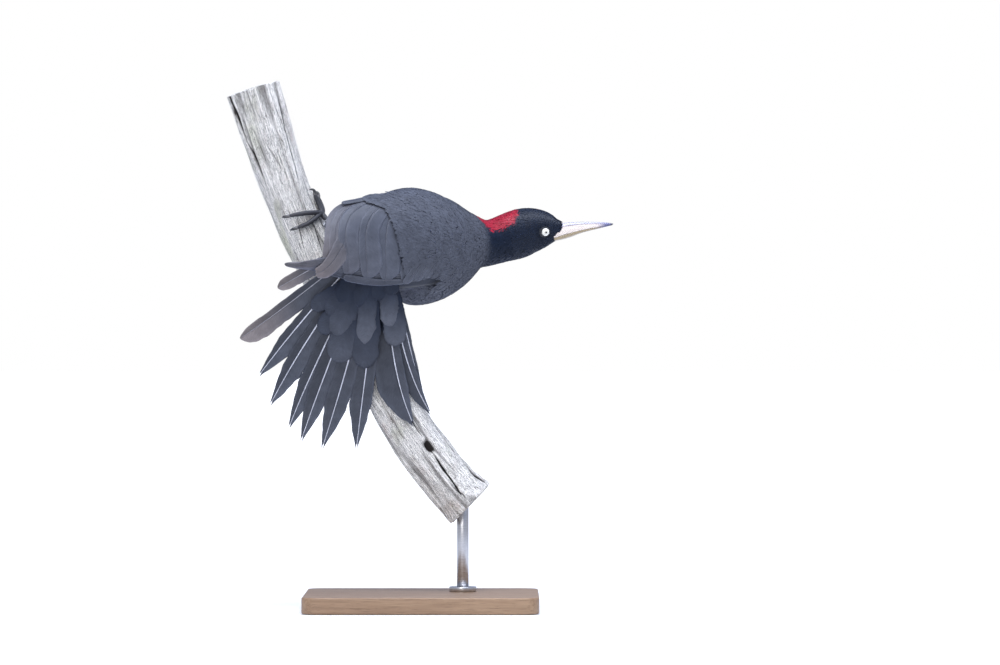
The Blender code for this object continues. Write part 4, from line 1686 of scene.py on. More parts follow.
@dataclass(frozen=True)
class Quill:
    """A large feather: two webs on a shaft, laid along a line over a face.

    Attributes:
        path: places on the face, root to tip, as pairs of its parameters.
        left: the web's width on the left of the way to the tip, seen from outside.
        right: the web's width on the right.
        lift: how far the shaft stands off the face at root, middle and tip.
        tip: how it ends.
        shaft: the shaft's radius at its root, or 0 for a hidden one.
        horn: the shaft's colour.
        tilt: how far the left edge lies above the right one.
        droop: how far both edges lie below the shaft.
        colour: the webs' colour.
        worn: the colour at the tip: wear on the flight feathers, and on the tail coverts the lit end
            of the painted shade at their root.
        wear: from which share of the length the tip's colour shows: wear on the flight feathers, the
            end of the painted shade on the tail coverts.
        edge: how much paler the webs' edges are, a painted sheen; below zero they are darker.
        shade: how much darker the left web is than the right one.
        slant: how far a point beside the shaft lies nearer the tip, as a share of its distance.
        fray: how ragged the edges are.
        rows: points along it.
        columns: points across each web.
    """

    THICK = 0.34
    CLOSES = 0.78  # where a rounded feather starts to close

    path: tuple | Array
    left: float
    right: float
    lift: tuple = (0.0, 0.0, 0.0)
    tip: Tip = Tip.ROUNDED
    shaft: float = 0.5
    horn: tuple = (0.12, 0.125, 0.15)
    tilt: float = 0.0
    droop: float = 0.4
    colour: tuple | Array = (0.08, 0.085, 0.10)
    worn: tuple | Array = (0.08, 0.085, 0.10)
    wear: float = 0.8
    edge: float = 0.15
    shade: float = 0.0
    slant: float = 0.35
    fray: float = 0.04
    rows: int = 30
    columns: int = 6

    def width(self, share: Array) -> Array:
        """Share of the full width along the feather: it widens, runs parallel, then closes."""
        if self.tip is Tip.ROUNDED:
            body = np.interp(share, (0, 0.15, 0.5, 0.8), (0.35, 0.75, 0.98, 1.0))
            end = np.sqrt(np.clip(1 - ((share - self.CLOSES) / 0.2215) ** 2, 0.004, 1))
            return body * np.where(share > self.CLOSES, end, 1.0)
        places = (0, 0.45, 0.70, 0.86, 0.95, 1.0)
        return np.interp(share, places, (0.62, 0.95, 1.0, 0.56, 0.24, 0.07))

    def lay(
        self, face: Face, cell: Cell, seed: int, sign: float = 1.0
    ) -> tuple[list[Patch], list[Patch]]:
        """Lays the feather on a face.

        A web's point lies beside the shaft by gap + (width - gap) * t, and is lifted by the
        shaft's own lift + tilt * x - droop * t^2. Its edge is frayed by value noise.

        Args:
            face: what it lies on.
            cell: its rectangle of the export's map.
            seed: for the frayed edge.
            sign: -1 swaps left and right, for the other wing.

        Returns:
            The webs, and the shaft or nothing.
        """
        share = np.linspace(0, 1, self.rows)
        path = np.asarray(self.path, float)
        where = smooth(path, share * (len(path) - 1))
        lift = smooth([[x] for x in self.lift], share * (len(self.lift) - 1))[:, 0]
        by_a, by_b, out = face.axes(where[:, 0], where[:, 1])
        middle = face.point(where[:, 0], where[:, 1], lift)
        way = unit(np.gradient(middle, axis=0))
        over = unit(np.cross(way, out)) * sign
        run = run_of(middle)
        gap = 0.9 * eased(0.955, 1.0, share) if self.tip is Tip.FORKED else 0 * share
        start = 37.0 * (seed % 97)
        webs, reach = [], []
        for number, full in enumerate((self.right, self.left)):
            ragged = value_noise(share * 26, 0 * share + seed * 3.7 + number, seed)
            notch = value_noise(share * 9, 0 * share + seed * 1.9 + number, seed + 5)
            notch = np.clip(notch - 0.55, 0, 1)
            wide = full * self.width(share) * (1 + self.fray * ragged - 4 * self.fray * notch)
            reach.append((np.maximum(wide, gap + 0.25) - gap)[:, None])
        spans = ((0.0, 1.0), (-1.0, 0.0)) if self.shaft else ((-1.0, 1.0),)
        for number, (low, high) in enumerate(spans):
            t = np.linspace(low, high, round((high - low) * (self.columns - 1)) + 1)
            side = np.where(t + low + high > 0, 1.0, -1.0)
            x = side * gap[:, None] + t * np.where(side > 0, reach[1], reach[0])
            slant = self.slant * np.abs(x) * (1 - eased(0.9, 1.0, share))[:, None]
            move = x[..., None] * over[:, None] + slant[..., None] * way[:, None]
            da, db = face.shift(by_a[:, None], by_b[:, None], move)
            rise = lift[:, None] + self.tilt * x / max(self.left, self.right) - self.droop * t**2
            waves = value_noise(run[:, None] * 0.55 - np.abs(x) * 0.5, 0 * x + seed, seed + 9)
            rise = rise + 0.06 * waves
            a, b = where[:, :1] + da, where[:, 1:] + db
            thick = self.THICK * (1 - 0.6 * np.abs(t) ** 3)
            outer, inner = face.point(a, b, rise), face.point(a, b, rise - thick)
            corner = 0.42 * number
            web = closed_sheet(outer, inner, cell.part(corner, corner + 0.84 / len(spans)))
            tones = self.tones(share, np.abs(t)) * (1 - side * self.shade)[:, None]
            web.colour = np.tile(tones, (2, 1, 1)).reshape(-1, 3)
            barbs = stacked(x, run[:, None] + start)
            web.barbs = np.tile(barbs, (2, 1, 1)).reshape(-1, 2)
            web.slots = np.zeros(len(web.faces))
            webs.append(web)
        if not self.shaft:
            return webs, []
        last = 0.97 if self.tip is Tip.FORKED else 0.985
        along = np.linspace(0, last, self.rows)
        line, way_out = (
            np.stack([np.interp(along, share, values[:, i]) for i in range(3)], 1)
            for values in (middle, out)
        )
        radius = self.shaft * (1 - 0.75 * along / last) ** 0.8
        line = line + way_out * (0.15 * radius)[:, None]
        tube = tube_patch(line, radius, 6, hint=(0.3, -1.0, 0.2), cell=cell.part(0.86, 1.0))
        tube.colour = np.zeros((len(tube.points), 3)) + np.array(self.horn)
        tube.slots = np.ones(len(tube.faces))
        return webs, [tube]

    def tones(self, share: Array, t: Array) -> Array:
        """The webs' colour by share of the length and of the width, with painted shade at the root
        and a painted sheen or a darker rim along the edges.
        """
        own, worn = np.array(self.colour), np.array(self.worn)
        toward_tip = eased(self.wear, 1.0, share)[:, None, None]
        base = (1 - toward_tip) * own + toward_tip * worn
        # Painted shade: the root third is darkened, as if shaded by the feathers that lie over it.
        root = 0.72 + 0.28 * eased(0.0, 0.3, share)[:, None, None]
        # Painted sheen: the outer quarter of each web is paled by edge; where edge is below zero the
        # rim is darker instead.
        rim = 1 + self.edge * 3 * eased(0.75, 1.0, t)[None, :, None]
        return np.clip(base * root * rim, 0, 1)


def lay_quills(
    name: str,
    quills: Sequence[Quill],
    face: Face,
    materials: Sequence[bpy.types.Material],
    seed: int,
    sign: float = 1.0,
) -> bpy.types.Object:
    """Lays many large feathers on one face.

    Args:
        name: the piece's name.
        quills: the feathers.
        face: what they lie on.
        materials: those of webs and shafts.
        seed: for their frayed edges.
        sign: -1 swaps left and right, for the other wing.

    Returns:
        One piece with the webs and shafts of them all.
    """
    cells = Cell.rows_of(len(quills), 1 + len(quills) // 24)
    found = []
    for number, quill in enumerate(quills):
        webs, shafts = quill.lay(face, cells[number], seed + 11 * number, sign)
        found += webs + shafts
    return make_piece(name, Patch.join(found), materials)


@dataclass
class Wing:
    """One folded wing's feathers, from the mantle's edge to the primaries' tips.

    Attributes:
        form: the wing's outer face.
        markings: the colours.
        remiges: shaft lines of the secondaries and tertials, from the outer ones under the
            coverts to the innermost along the wing's rear edge.
        tertial: shaft line of the broad worn feather over the primaries.
        spread: the feathers laid among the remiges, from below up: each one's place between
            their lines, or None for the tertial, and how worn it is.
        border: how far down the wing the coverts reach, for places across it.
        fold: share of the way past station 5 that the feathers reach.
        outermost: shaft line of the lowest primary.
        innermost: shaft line of the highest primary.
    """

    form: WingForm
    markings: Markings
    remiges: tuple = (
        ((2.4, 0.80), (3.0, 0.62), (3.2, 0.42), (2.90, 0.15)),
        ((3.0, 1.00), (3.95, 0.78), (4.25, 0.48), (3.85, 0.14)),
        ((3.2, 1.03), (4.60, 0.83), (5.15, 0.51), (4.60, 0.11)),
        ((3.3, 1.06), (5.15, 0.93), (6.15, 0.58), (5.55, 0.08)),
        ((3.4, 1.08), (5.40, 1.03), (6.90, 0.74), (7.20, 0.14)),
    )
    tertial: tuple = ((5.1, 0.92), (5.8, 0.66), (6.7, 0.34), (7.95, -0.05))
    spread: tuple = (
        (4.0, 0.75), (3.6, 0.6), (None, 1.0), (3.0, 0.12), (2.0, 0.04), (1.0, 0.0), (0.1, 0.0)
    )
    border: tuple = (
        (0.0, 1.9), (0.3, 2.95), (0.5, 3.3), (0.72, 3.55), (0.86, 3.65), (0.95, 3.95), (1.0, 4.25)
    )
    fold: float = 1.0
    outermost: tuple = ((2.3, 0.15), (4.2, 0.09), (6.2, 0.05), (8.6, 0.12), (10.6, 0.35))
    innermost: tuple = ((2.3, 0.25), (4.2, 0.22), (6.0, 0.20), (7.8, 0.35), (9.8, 0.62))

    @property
    def name(self) -> str:
        """The wing's side in words."""
        return "right" if self.form.side > 0 else "left"

    def remex_quills(self) -> list[Quill]:
        """Secondaries and tertials: broad, smooth and rounded, each over the one behind it."""
        slate, brown = np.array(self.markings.slate), np.array(self.markings.brown)
        found = []
        for order, (place, worn) in enumerate(self.spread):
            quill = Quill(
                self.tertial,
                left=12.0,
                right=12.0,
                lift=(-4.4, -1.9, 0.6),
                shaft=0.26,
                tilt=0.15,
                droop=0.25,
                colour=slate * (1 - 0.3 * worn) + 0.3 * worn * brown,
                worn=slate * 1.15 * (1 - worn) + worn * brown,
                wear=0.45,
                edge=0.11,
                shade=0.05,
                rows=34,
                columns=8,
            )
            if place is not None:
                level, sunk = -3.1 + 0.27 * order, 2.2 * max(0.0, 1.6 - place)
                lift = (level - 1.4, level + 0.4 - sunk, level + 0.2)
                path = smooth(self.remiges, np.array(place))
                quill = replace(quill, path=path, left=8.0, right=17.0, lift=lift)
            elif self.fold < 1:
                continue
            found.append(quill)
        return found

    def primary_quills(self) -> list[Quill]:
        """Primaries: long and narrow, stacked under the secondaries, with pale edges that are a
        painted sheen and browner worn tips.
        """
        paths = smooth((self.outermost, self.innermost), np.linspace(0, 1, 7))
        slate, brown = np.array(self.markings.slate), np.array(self.markings.brown)
        return [
            Quill(
                path,
                left=5.4,
                right=6.0,
                lift=(-4.2 + 0.2 * order, -4.0 + 0.25 * order, -1.7 + 0.15 * order),
                shaft=0.3,
                droop=0.5,
                colour=slate * 0.8,
                worn=slate * 0.5 + 0.35 * brown,
                wear=0.5,
                edge=0.32,
                rows=44,
                columns=5,
            )
            for order, path in enumerate(paths)
        ]

    def covert_quills(self) -> list[Quill]:
        """The loose feather of the near wing, the lower band and the feathers of the thumb."""
        slate = np.array(self.markings.slate)
        found = []
        if self.form.side > 0:
            found.append(Quill(
                ((4.0, 1.04), (4.9, 1.05), (5.75, 1.05)), 3.4, 3.4, (-2.0, -1.2, 0.6),
                shaft=0.0, droop=0.4, colour=slate * 0.8, worn=slate, rows=18, columns=5,
            ))
        band = ((2.6, 0.20), (3.6, 0.165), (4.7, 0.12), (5.8, 0.085))
        # Its pale edges are a painted sheen, as on the other feathers with a positive edge.
        found.append(Quill(
            band, 1.6, 9.0, (-2.2, -1.5, -1.2), shaft=0.3, droop=0.3, colour=slate * 0.9,
            worn=slate, edge=0.3,
        ))
        thumb = (
            ((1.85, 0.44), (2.15, 0.33), (2.35, 0.20)),
            ((2.2, 0.42), (2.5, 0.31), (2.7, 0.17)),
            ((2.5, 0.40), (2.85, 0.30), (3.1, 0.14)),
        )
        for order, path in enumerate(reversed(thumb)):
            lift = (-1.2, -0.2 + 0.15 * order, 0.1 + 0.15 * order)
            found.append(Quill(
                path, 5.5, 5.5, lift, shaft=0.2, droop=0.5,
                colour=slate, worn=slate * 1.15, edge=0.12, rows=18, columns=5,
            ))
        return found

    def lesser(self) -> Patch:
        """Coverts: soft small feathers over the shoulder, up to the back's midline, that end
        along one line across the wing."""
        random = np.random.default_rng(SEED + 200 + self.form.side)

        def midline(at: Array) -> Array:
            """How far across the wing's face the back's midline lies, by station."""
            upper, lower = smooth([row[3:] for row in self.form.table], at.clip(-0.5, 11)).T
            return 1.0 + (upper + 3.0) / (lower - upper)

        a, b = scatter(self.form, -0.4, 5.4, 2.6, 1.9, (-0.04, midline), random)
        edge = np.interp(b, *zip(*self.border, strict=True))
        keep = (a < edge) & ~((a > 1.3) & (b < 0.2))
        a, b = a[keep], b[keep]
        count = len(a)
        top = eased(0.75, 1.0, b)
        large = eased(-1.4, 0.0, a - edge[keep])
        length = (13.0 + 2.0 * top + 9.0 * large) * random.uniform(0.92, 1.08, count)
        plumes = Plumes(
            a,
            b,
            math.pi + random.normal(0, 0.08 - 0.04 * large, count),
            np.minimum(length, (edge[keep] + 0.55 - a) * 27),
            (1.75 + 0.2 * top + 2.2 * large) * random.uniform(0.9, 1.1, count),
            -0.6 + 0.3 * np.clip(a / 3, 0, 1) - 1.1 * large + random.normal(0, 0.04, count),
            0.6 - 0.2 * large + random.normal(0, 0.06, count),
            np.zeros((count, 3)) + np.array(self.markings.slate),
            map_place((b + 0.04) / (b.max() + 0.04), (a - a.min()) / (a.max() - a.min())),
            0.04,
        )
        return plumes.lay(self.form, Leaf(), SEED + 210 + self.form.side)

    def drawn_in(self, quill: Quill) -> Quill:
        """A feather with the part of its path past station 5 drawn in by the fold."""
        path = [(min(a, 5 + (a - 5) * self.fold), b) for a, b in quill.path]
        return replace(quill, path=path)

    def build(
        self, soft: bpy.types.Material, webs: bpy.types.Material, shafts: bpy.types.Material
    ) -> None:
        """Lays the wing's feathers: primaries, then secondaries, then coverts.

        Args:
            soft: the small feathers' material.
            webs: that of the large feathers' webs.
            shafts: that of their shafts.
        """
        quills = self.primary_quills() + self.remex_quills() + self.covert_quills()
        if self.fold < 1:
            quills = [self.drawn_in(quill) for quill in quills]
        materials, side = (webs, shafts), self.form.side
        lay_quills(f"wing_feathers_{self.name}", quills, self.form, materials, SEED + 300, side)
        make_piece(f"wing_coverts_{self.name}", self.lesser(), (soft,))


@dataclass
class Tail:
    """Twelve stiff tail feathers, fanned and pressed down, with their coverts.

    Attributes:
        form: the fan's front.
        markings: the colours.
        centre: X and Z that the feathers spread from.
        feathers: for each, from the outermost on the bird's left: angle of root and tip from
            straight down (positive to -X), distances of root and tip from the centre, widths of
            the vane on its -X and +X sides, and how far the tip is swung back from the fan.
        round_ones: which of them have a round tip and a thin shaft.
        coverts: for each, the lowest first: root and tip as X and Z, half-width, and how light
        its tip is over the near-black root, which is painted shade; the last four stay dark as the
        painted shadow under the wing's edge.
    """

    form: FanForm
    markings: Markings
    centre: tuple = (-37.0, 391.0)
    feathers: tuple = (
        (60.7, 60.7, 34, 126, 6.5, 8, 5),
        (51.2, 52.7, 34, 187, 6.5, 14, 7),
        (42.1, 40.6, 44, 200, 7.5, 14, 4),
        (35.3, 33.1, 52, 217, 8.5, 14, 2),
        (27.5, 25.8, 60, 228, 9, 13, 1),
        (22.8, 21.6, 60, 235, 11, 12, 0.4),
        (15.3, 16.0, 60, 235, 12, 12, 0),
        (7.8, 7.5, 60, 228, 13, 10, 0.4),
        (-2.2, -8.1, 58, 204, 23, 8.5, 0.5),
        (-7.0, -13.7, 56, 197, 13, 6, 9),
        (-11.0, -12.7, 54, 181, 11, 3.5, 14),
        (-10.5, -12.0, 50, 124, 8, 3.5, 12),
    )
    round_ones: tuple = (0, 1, 11)
    coverts: tuple = (
        ((-62, 338), (-112, 308), 9.0, 0.5),
        ((-58, 334), (-103, 283), 11.0, 0.5),
        ((-62, 330), (-86, 253), 15.0, 0.9),
        ((-30, 332), (-27, 270), 12.0, 1.1),
        ((-50, 334), (-59, 247), 13.5, 0.6),
        ((-58, 342), (-96, 303), 10.5, 0.45),
        ((-56, 344), (-88, 281), 13.0, 0.8),
        ((-38, 346), (-31, 290), 10.5, 1.2),
        ((-50, 348), (-58, 272), 10.0, 1.25),
        # Painted shadow: these last four stay nearly black, for the shade under the wing's edge.
        ((-60, 352), (-84, 315), 9.5, 0.1),
        ((-50, 354), (-64, 310), 9.5, 0.15),
        ((-42, 354), (-44, 316), 9.5, 0.1),
        ((-34, 354), (-30, 322), 9.0, 0.1),
    )

    def rectrices(self) -> list[Quill]:
        """The twelve feathers: middle ones over outer ones, forked and worn at the tip."""
        found = []
        slate = np.array(self.markings.slate)
        for number, (at_root, at_tip, root, tip, left, right, swing) in enumerate(self.feathers):
            share = np.linspace(0, 1, 7)
            turn = np.radians(at_root + (at_tip - at_root) * share**2)
            reach = root + (tip - root) * share
            path = np.array(self.centre) - reach[:, None] * np.stack([np.sin(turn), np.cos(turn)], 1)
            layer = -0.34 * abs(number - 6)
            outer = number in self.round_ones
            lift = tuple(layer - swing * share**2)
            found.append(Quill(
                path,
                left=left,
                right=right,
                lift=lift,
                tip=Tip.ROUNDED if outer else Tip.FORKED,
                shaft=1.0 if not outer else 0.6,
                # Painted reflection: the shafts are pale grey for the sky's glint on them, though
                # black on the bird.
                horn=(0.55, 0.56, 0.62) if not outer else (0.30, 0.30, 0.33),
                droop=0.5,
                colour=slate * 0.62,
                worn=slate * 0.85 if number > 1 else self.markings.brown,
                wear=0.45,
                edge=0.14,
                shade=0.22 if number < 6 else 0.1,
                fray=0.07,
                rows=70,
                columns=8,
            ))
        return found

    def covert_quills(self) -> list[Quill]:
        """Upper tail coverts: large soft rounded feathers, top ones last, each painted from a
        near-black shaded root to a lighter tip.
        """
        slate, night = np.array(self.markings.slate), np.array(self.markings.night)
        found = []
        for order, (root, tip, half, light) in enumerate(self.coverts):
            middle = (0.5 * (root[0] + tip[0]) + 0.04 * (tip[0] + 55), 0.5 * (root[1] + tip[1]))
            level = 0.2 + 0.27 * order
            # Painted shade: the root takes the near-black night colour, and lightens towards the tip
            # only by the covert's light.
            found.append(Quill(
                (root, middle, tip), half, half, (level - 0.6, level + 0.3, level - 0.4),
                shaft=0.0, droop=1.5, colour=night, worn=night + (slate - night) * light,
                wear=0.25, edge=-0.05, slant=0.0, fray=0.08, rows=30, columns=8,
            ))
        return found

    def under_quills(self) -> list[Quill]:
        """Under tail coverts, behind the fan's root."""
        slate = np.array(self.markings.slate)
        found = []
        for level, (z, reach) in enumerate(((262, 30.0), (280, 26.0))):
            for x in np.linspace(-82, -34, 5):
                root = (0.5 * x - 27.0, z + 42.0)
                path = (root, (0.5 * (x + root[0]), z + 0.5 * reach), (x, z))
                lift = (-3.0 - level, -3.4 - level, -2.6 - 0.6 * level)
                found.append(Quill(
                    path, 8.0, 8.0, lift, shaft=0.0, droop=-0.8,
                    colour=slate * 0.6, worn=slate * 0.8, fray=0.08, rows=18,
                ))
        return found

    def build(self, webs: bpy.types.Material, shafts: bpy.types.Material) -> None:
        """Lays the fan and its coverts; the fan stands for the tail's CAD solid.

        Args:
            webs: the material of the feathers' webs.
            shafts: that of their shafts.
        """
        fan = lay_quills("tail_feathers", self.rectrices(), self.form, (webs, shafts), SEED + 400)
        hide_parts("tail")
        over = FanForm(bulge=16.0)
        lay_quills("tail_coverts", self.covert_quills(), over, (webs, shafts), SEED + 420)
        lay_quills("tail_under_coverts", self.under_quills(), self.form, (webs, shafts), SEED + 440)


# ---------------------------------------------------------------------------------------------
# Bill and eyes


@dataclass
class Bill:
    """A chisel bill in two closed mandibles that meet along the mouth line.

    Attributes:
        line: for stations from root to tip: the mouth line's middle, and there the half-width,
            the ridge's height over it and the keel's depth under it.
        roll: how far the head is rolled to its right, in degrees.
        rows: rings from root to tip.
        arc: points over a ring's outer face.
        flat: points back along the mouth line.
        horn: colour of the ridge and of the outer half.
        lilac: colour of the upper mandible's side towards the ridge.
        ivory: the pale side of the upper mandible, and dimmed of the lower one.
        ochre: colour of the lower mandible towards its root, painted shade under the upper mandible.
        night: colour of the tip.
    """

    line: tuple = (
        ((136, 98.5, 384.4), 8.0, 11.0, 5.0),
        ((149, 98.8, 388.0), 6.2, 10.6, 5.9),
        ((161, 99.2, 390.9), 5.0, 8.6, 4.4),
        ((173, 99.6, 393.2), 3.9, 6.4, 3.1),
        ((184, 100.0, 394.9), 2.8, 4.3, 2.1),
        ((192, 100.3, 396.1), 1.9, 2.6, 1.3),
        ((198.6, 100.5, 396.8), 0.8, 0.8, 0.5),
    )
    roll: float = 15.0
    rows: int = 84
    arc: int = 36
    flat: int = 12
    horn: tuple = (0.13, 0.135, 0.22)
    lilac: tuple = (0.40, 0.39, 0.50)
    ivory: tuple = (0.76, 0.67, 0.60)
    ochre: tuple = (0.36, 0.28, 0.16)
    night: tuple = (0.028, 0.028, 0.050)

    def mandible(self, upper: bool) -> Patch:
        """One mandible.

        Its section runs over an arc from one cutting edge to the other, x = w cos t and
        y = h sin t drawn in near the ridge, with a low side ridge above the nostril's line, then
        back along a shallow hollow.

        Args:
            upper: whether it is the upper one.

        Returns:
            The closed horn.
        """
        last = len(self.line) - 1.0
        share = np.linspace(0, 1, self.rows) ** 0.9
        at = share * (last if upper else last - 0.14)
        middle = smooth([row[0] for row in self.line], at)
        half, ridge, keel = smooth([row[1:] for row in self.line], at).T
        along = unit(np.gradient(middle, axis=0))
        turn = math.radians(self.roll)
        back = np.array([0.0, -math.sin(turn), math.cos(turn)]) + 0 * along
        back = unit(back - (back * along).sum(1, keepdims=True) * along)
        right = np.cross(along, back)
        t = np.linspace(0, math.pi, self.arc)
        side, top = np.cos(t), np.sin(t)
        height = ridge if upper else keel
        squeeze = 1 - (0.30 if upper else 0.12) * top**3
        x = half[:, None] * side * squeeze
        y = height[:, None] * top ** (1.15 if upper else 1.0)
        if upper:
            for place in (0.95, math.pi - 0.95):
                bump = 0.42 * np.exp(-(((t - place) / 0.10) ** 2))
                bump = bump * (1 - eased(0.55, 0.8, share))[:, None]
                x, y = x + bump * side, y + bump * top
        hollow = np.linspace(-1, 1, self.flat + 2)[1:-1]
        x = np.concatenate([x, 0.96 * half[:, None] * hollow], 1)
        floor = 0.22 * height[:, None] * (1 - hollow**2)
        sign = 1.0 if upper else -1.0
        y = sign * (np.concatenate([y, floor], 1) + 0.12)
        points = middle[:, None] + x[..., None] * right[:, None] + y[..., None] * back[:, None]
        sides = self.arc + self.flat
        faces = tube_faces(self.rows, sides)
        patch = Patch(points.reshape(-1, 3), faces if upper else faces[:, ::-1])
        ring = np.concatenate([t, np.zeros(self.flat)])
        patch.colour = self.tones(upper, share, ring).reshape(-1, 3)
        patch.barbs = stacked(ring * 5, run_of(middle)[:, None]).reshape(-1, 2)
        return patch

    def tones(self, upper: bool, share: Array, t: Array) -> Array:
        """The horn's colour, with painted shade on the lower mandible along the mouth line.

        Args:
            upper: whether it is the upper mandible.
            share: shares of the length, one for each ring.
            t: angles over the arc, one for each point of a ring.

        Returns:
            A colour for each point of each ring.
        """
        s, t = share[:, None], np.minimum(t, math.pi - t)[None]
        colours = [np.array(c) for c in (self.horn, self.lilac, self.ivory, self.ochre, self.night)]
        horn, lilac, ivory, ochre, night = colours

        def over(base: Array, share: Array, top: Array) -> Array:
            """One colour laid over another by a share."""
            return base * (1 - share[..., None]) + share[..., None] * top

        if upper:
            found = ivory + 0 * (s + t)[..., None]
            found = over(found, eased(0.84, 0.96, t) + 0 * s, lilac)
            line = 0.85 * np.exp(-(((t - 0.86) / 0.055) ** 2)) * (1 - eased(0.6, 0.8, s))
            found = over(found, line, horn * 0.6)
            found = over(found, eased(1.25, 1.48, t) * eased(0.12, 0.3, s), horn)
        else:
            # Painted shade: the lower mandible is ochre along the mouth line, in the shade of the
            # upper one, and paler towards its keel near the root.
            found = ochre + 0 * (s + t)[..., None]
            found = over(found, eased(0.5, 1.3, t) * (1 - eased(0.45, 0.8, s)), ivory * 0.8)
        found = over(found, eased(0.55, 0.85, s) + 0 * t, horn * np.array([0.9, 0.9, 1.15]))
        return over(found, eased(0.86, 0.98, s) + 0 * t, night)

    def build(self) -> None:
        """Both mandibles, each in the place of its CAD solid."""
        horn = HornFinish("bill_horn").make()
        make_piece("bill_upper_horn", self.mandible(True), (horn,), ("bill_upper",))
        make_piece("bill_lower_horn", self.mandible(False), (horn,), ("bill_lower",))


@dataclass
class Eye:
    """One eyeball, whole: a pale iris with a small pupil under a bulging cornea."""

    form: EyeForm
    iris: float = 4.15
    pupil: float = 1.15
    bulge: float = 0.35
    ahead: float = 0.22
    pale: tuple = (0.88, 0.87, 0.78)
    straw: tuple = (0.55, 0.46, 0.25)
    dark: tuple = (0.012, 0.010, 0.010)

    def build(self) -> None:
        """The ball: circles round its axis, at radius r sin(t) and depth r cos(t), where the
        front third swells by a bell curve."""
        centre, out, ahead = self.form.place()
        axis = unit(out + self.ahead * ahead)
        across = unit(np.cross(axis, np.array([0.0, 0.0, 1.0])))
        other = np.cross(axis, across)
        rows, sides, pole = 64, 48, 0.004
        t = np.linspace(pole, math.pi - pole, rows) ** 1.25
        t = t / t[-1] * (math.pi - pole)
        turn = np.linspace(0, 2 * math.pi, sides, endpoint=False)
        radius = self.form.radius + self.bulge * np.exp(-((t / 0.55) ** 2))
        wide, deep = radius * np.sin(t), radius * np.cos(t)
        points = (
            centre
            + deep[:, None, None] * axis
            + (wide[:, None] * np.cos(turn))[..., None] * across
            + (wide[:, None] * np.sin(turn))[..., None] * other
        )
        r = wide[:, None] + np.where(t > math.pi / 2, 99.0, 0.0)[:, None]
        pale, straw, dark = np.array(self.pale), np.array(self.straw), np.array(self.dark)
        ring = np.exp(-(((r - self.pupil - 0.75) / 0.45) ** 2))[..., None]
        found = pale * (1 - 0.3 * ring) + 0.3 * ring * straw
        inside = 1 - eased(self.pupil - 0.12, self.pupil + 0.12, r)[..., None]
        rim = eased(self.iris - 0.25, self.iris + 0.15, r)[..., None]
        found = found * (1 - inside) + inside * dark
        found = found * (1 - rim) + rim * dark
        colour = np.repeat(found, sides, axis=1).reshape(-1, 3)
        patch = Patch(points.reshape(-1, 3), tube_faces(rows, sides)[:, ::-1], colour)
        patch.barbs = stacked(turn * 1.6, wide[:, None]).reshape(-1, 2)
        side = "right" if self.form.side > 0 else "left"
        wet = EyeFinish(f"eye_wet_{side}").make()
        make_piece(f"eyeball_{side}", patch, (wet,), (f"eye_{side}",))


# ---------------------------------------------------------------------------------------------
# Feet and claws


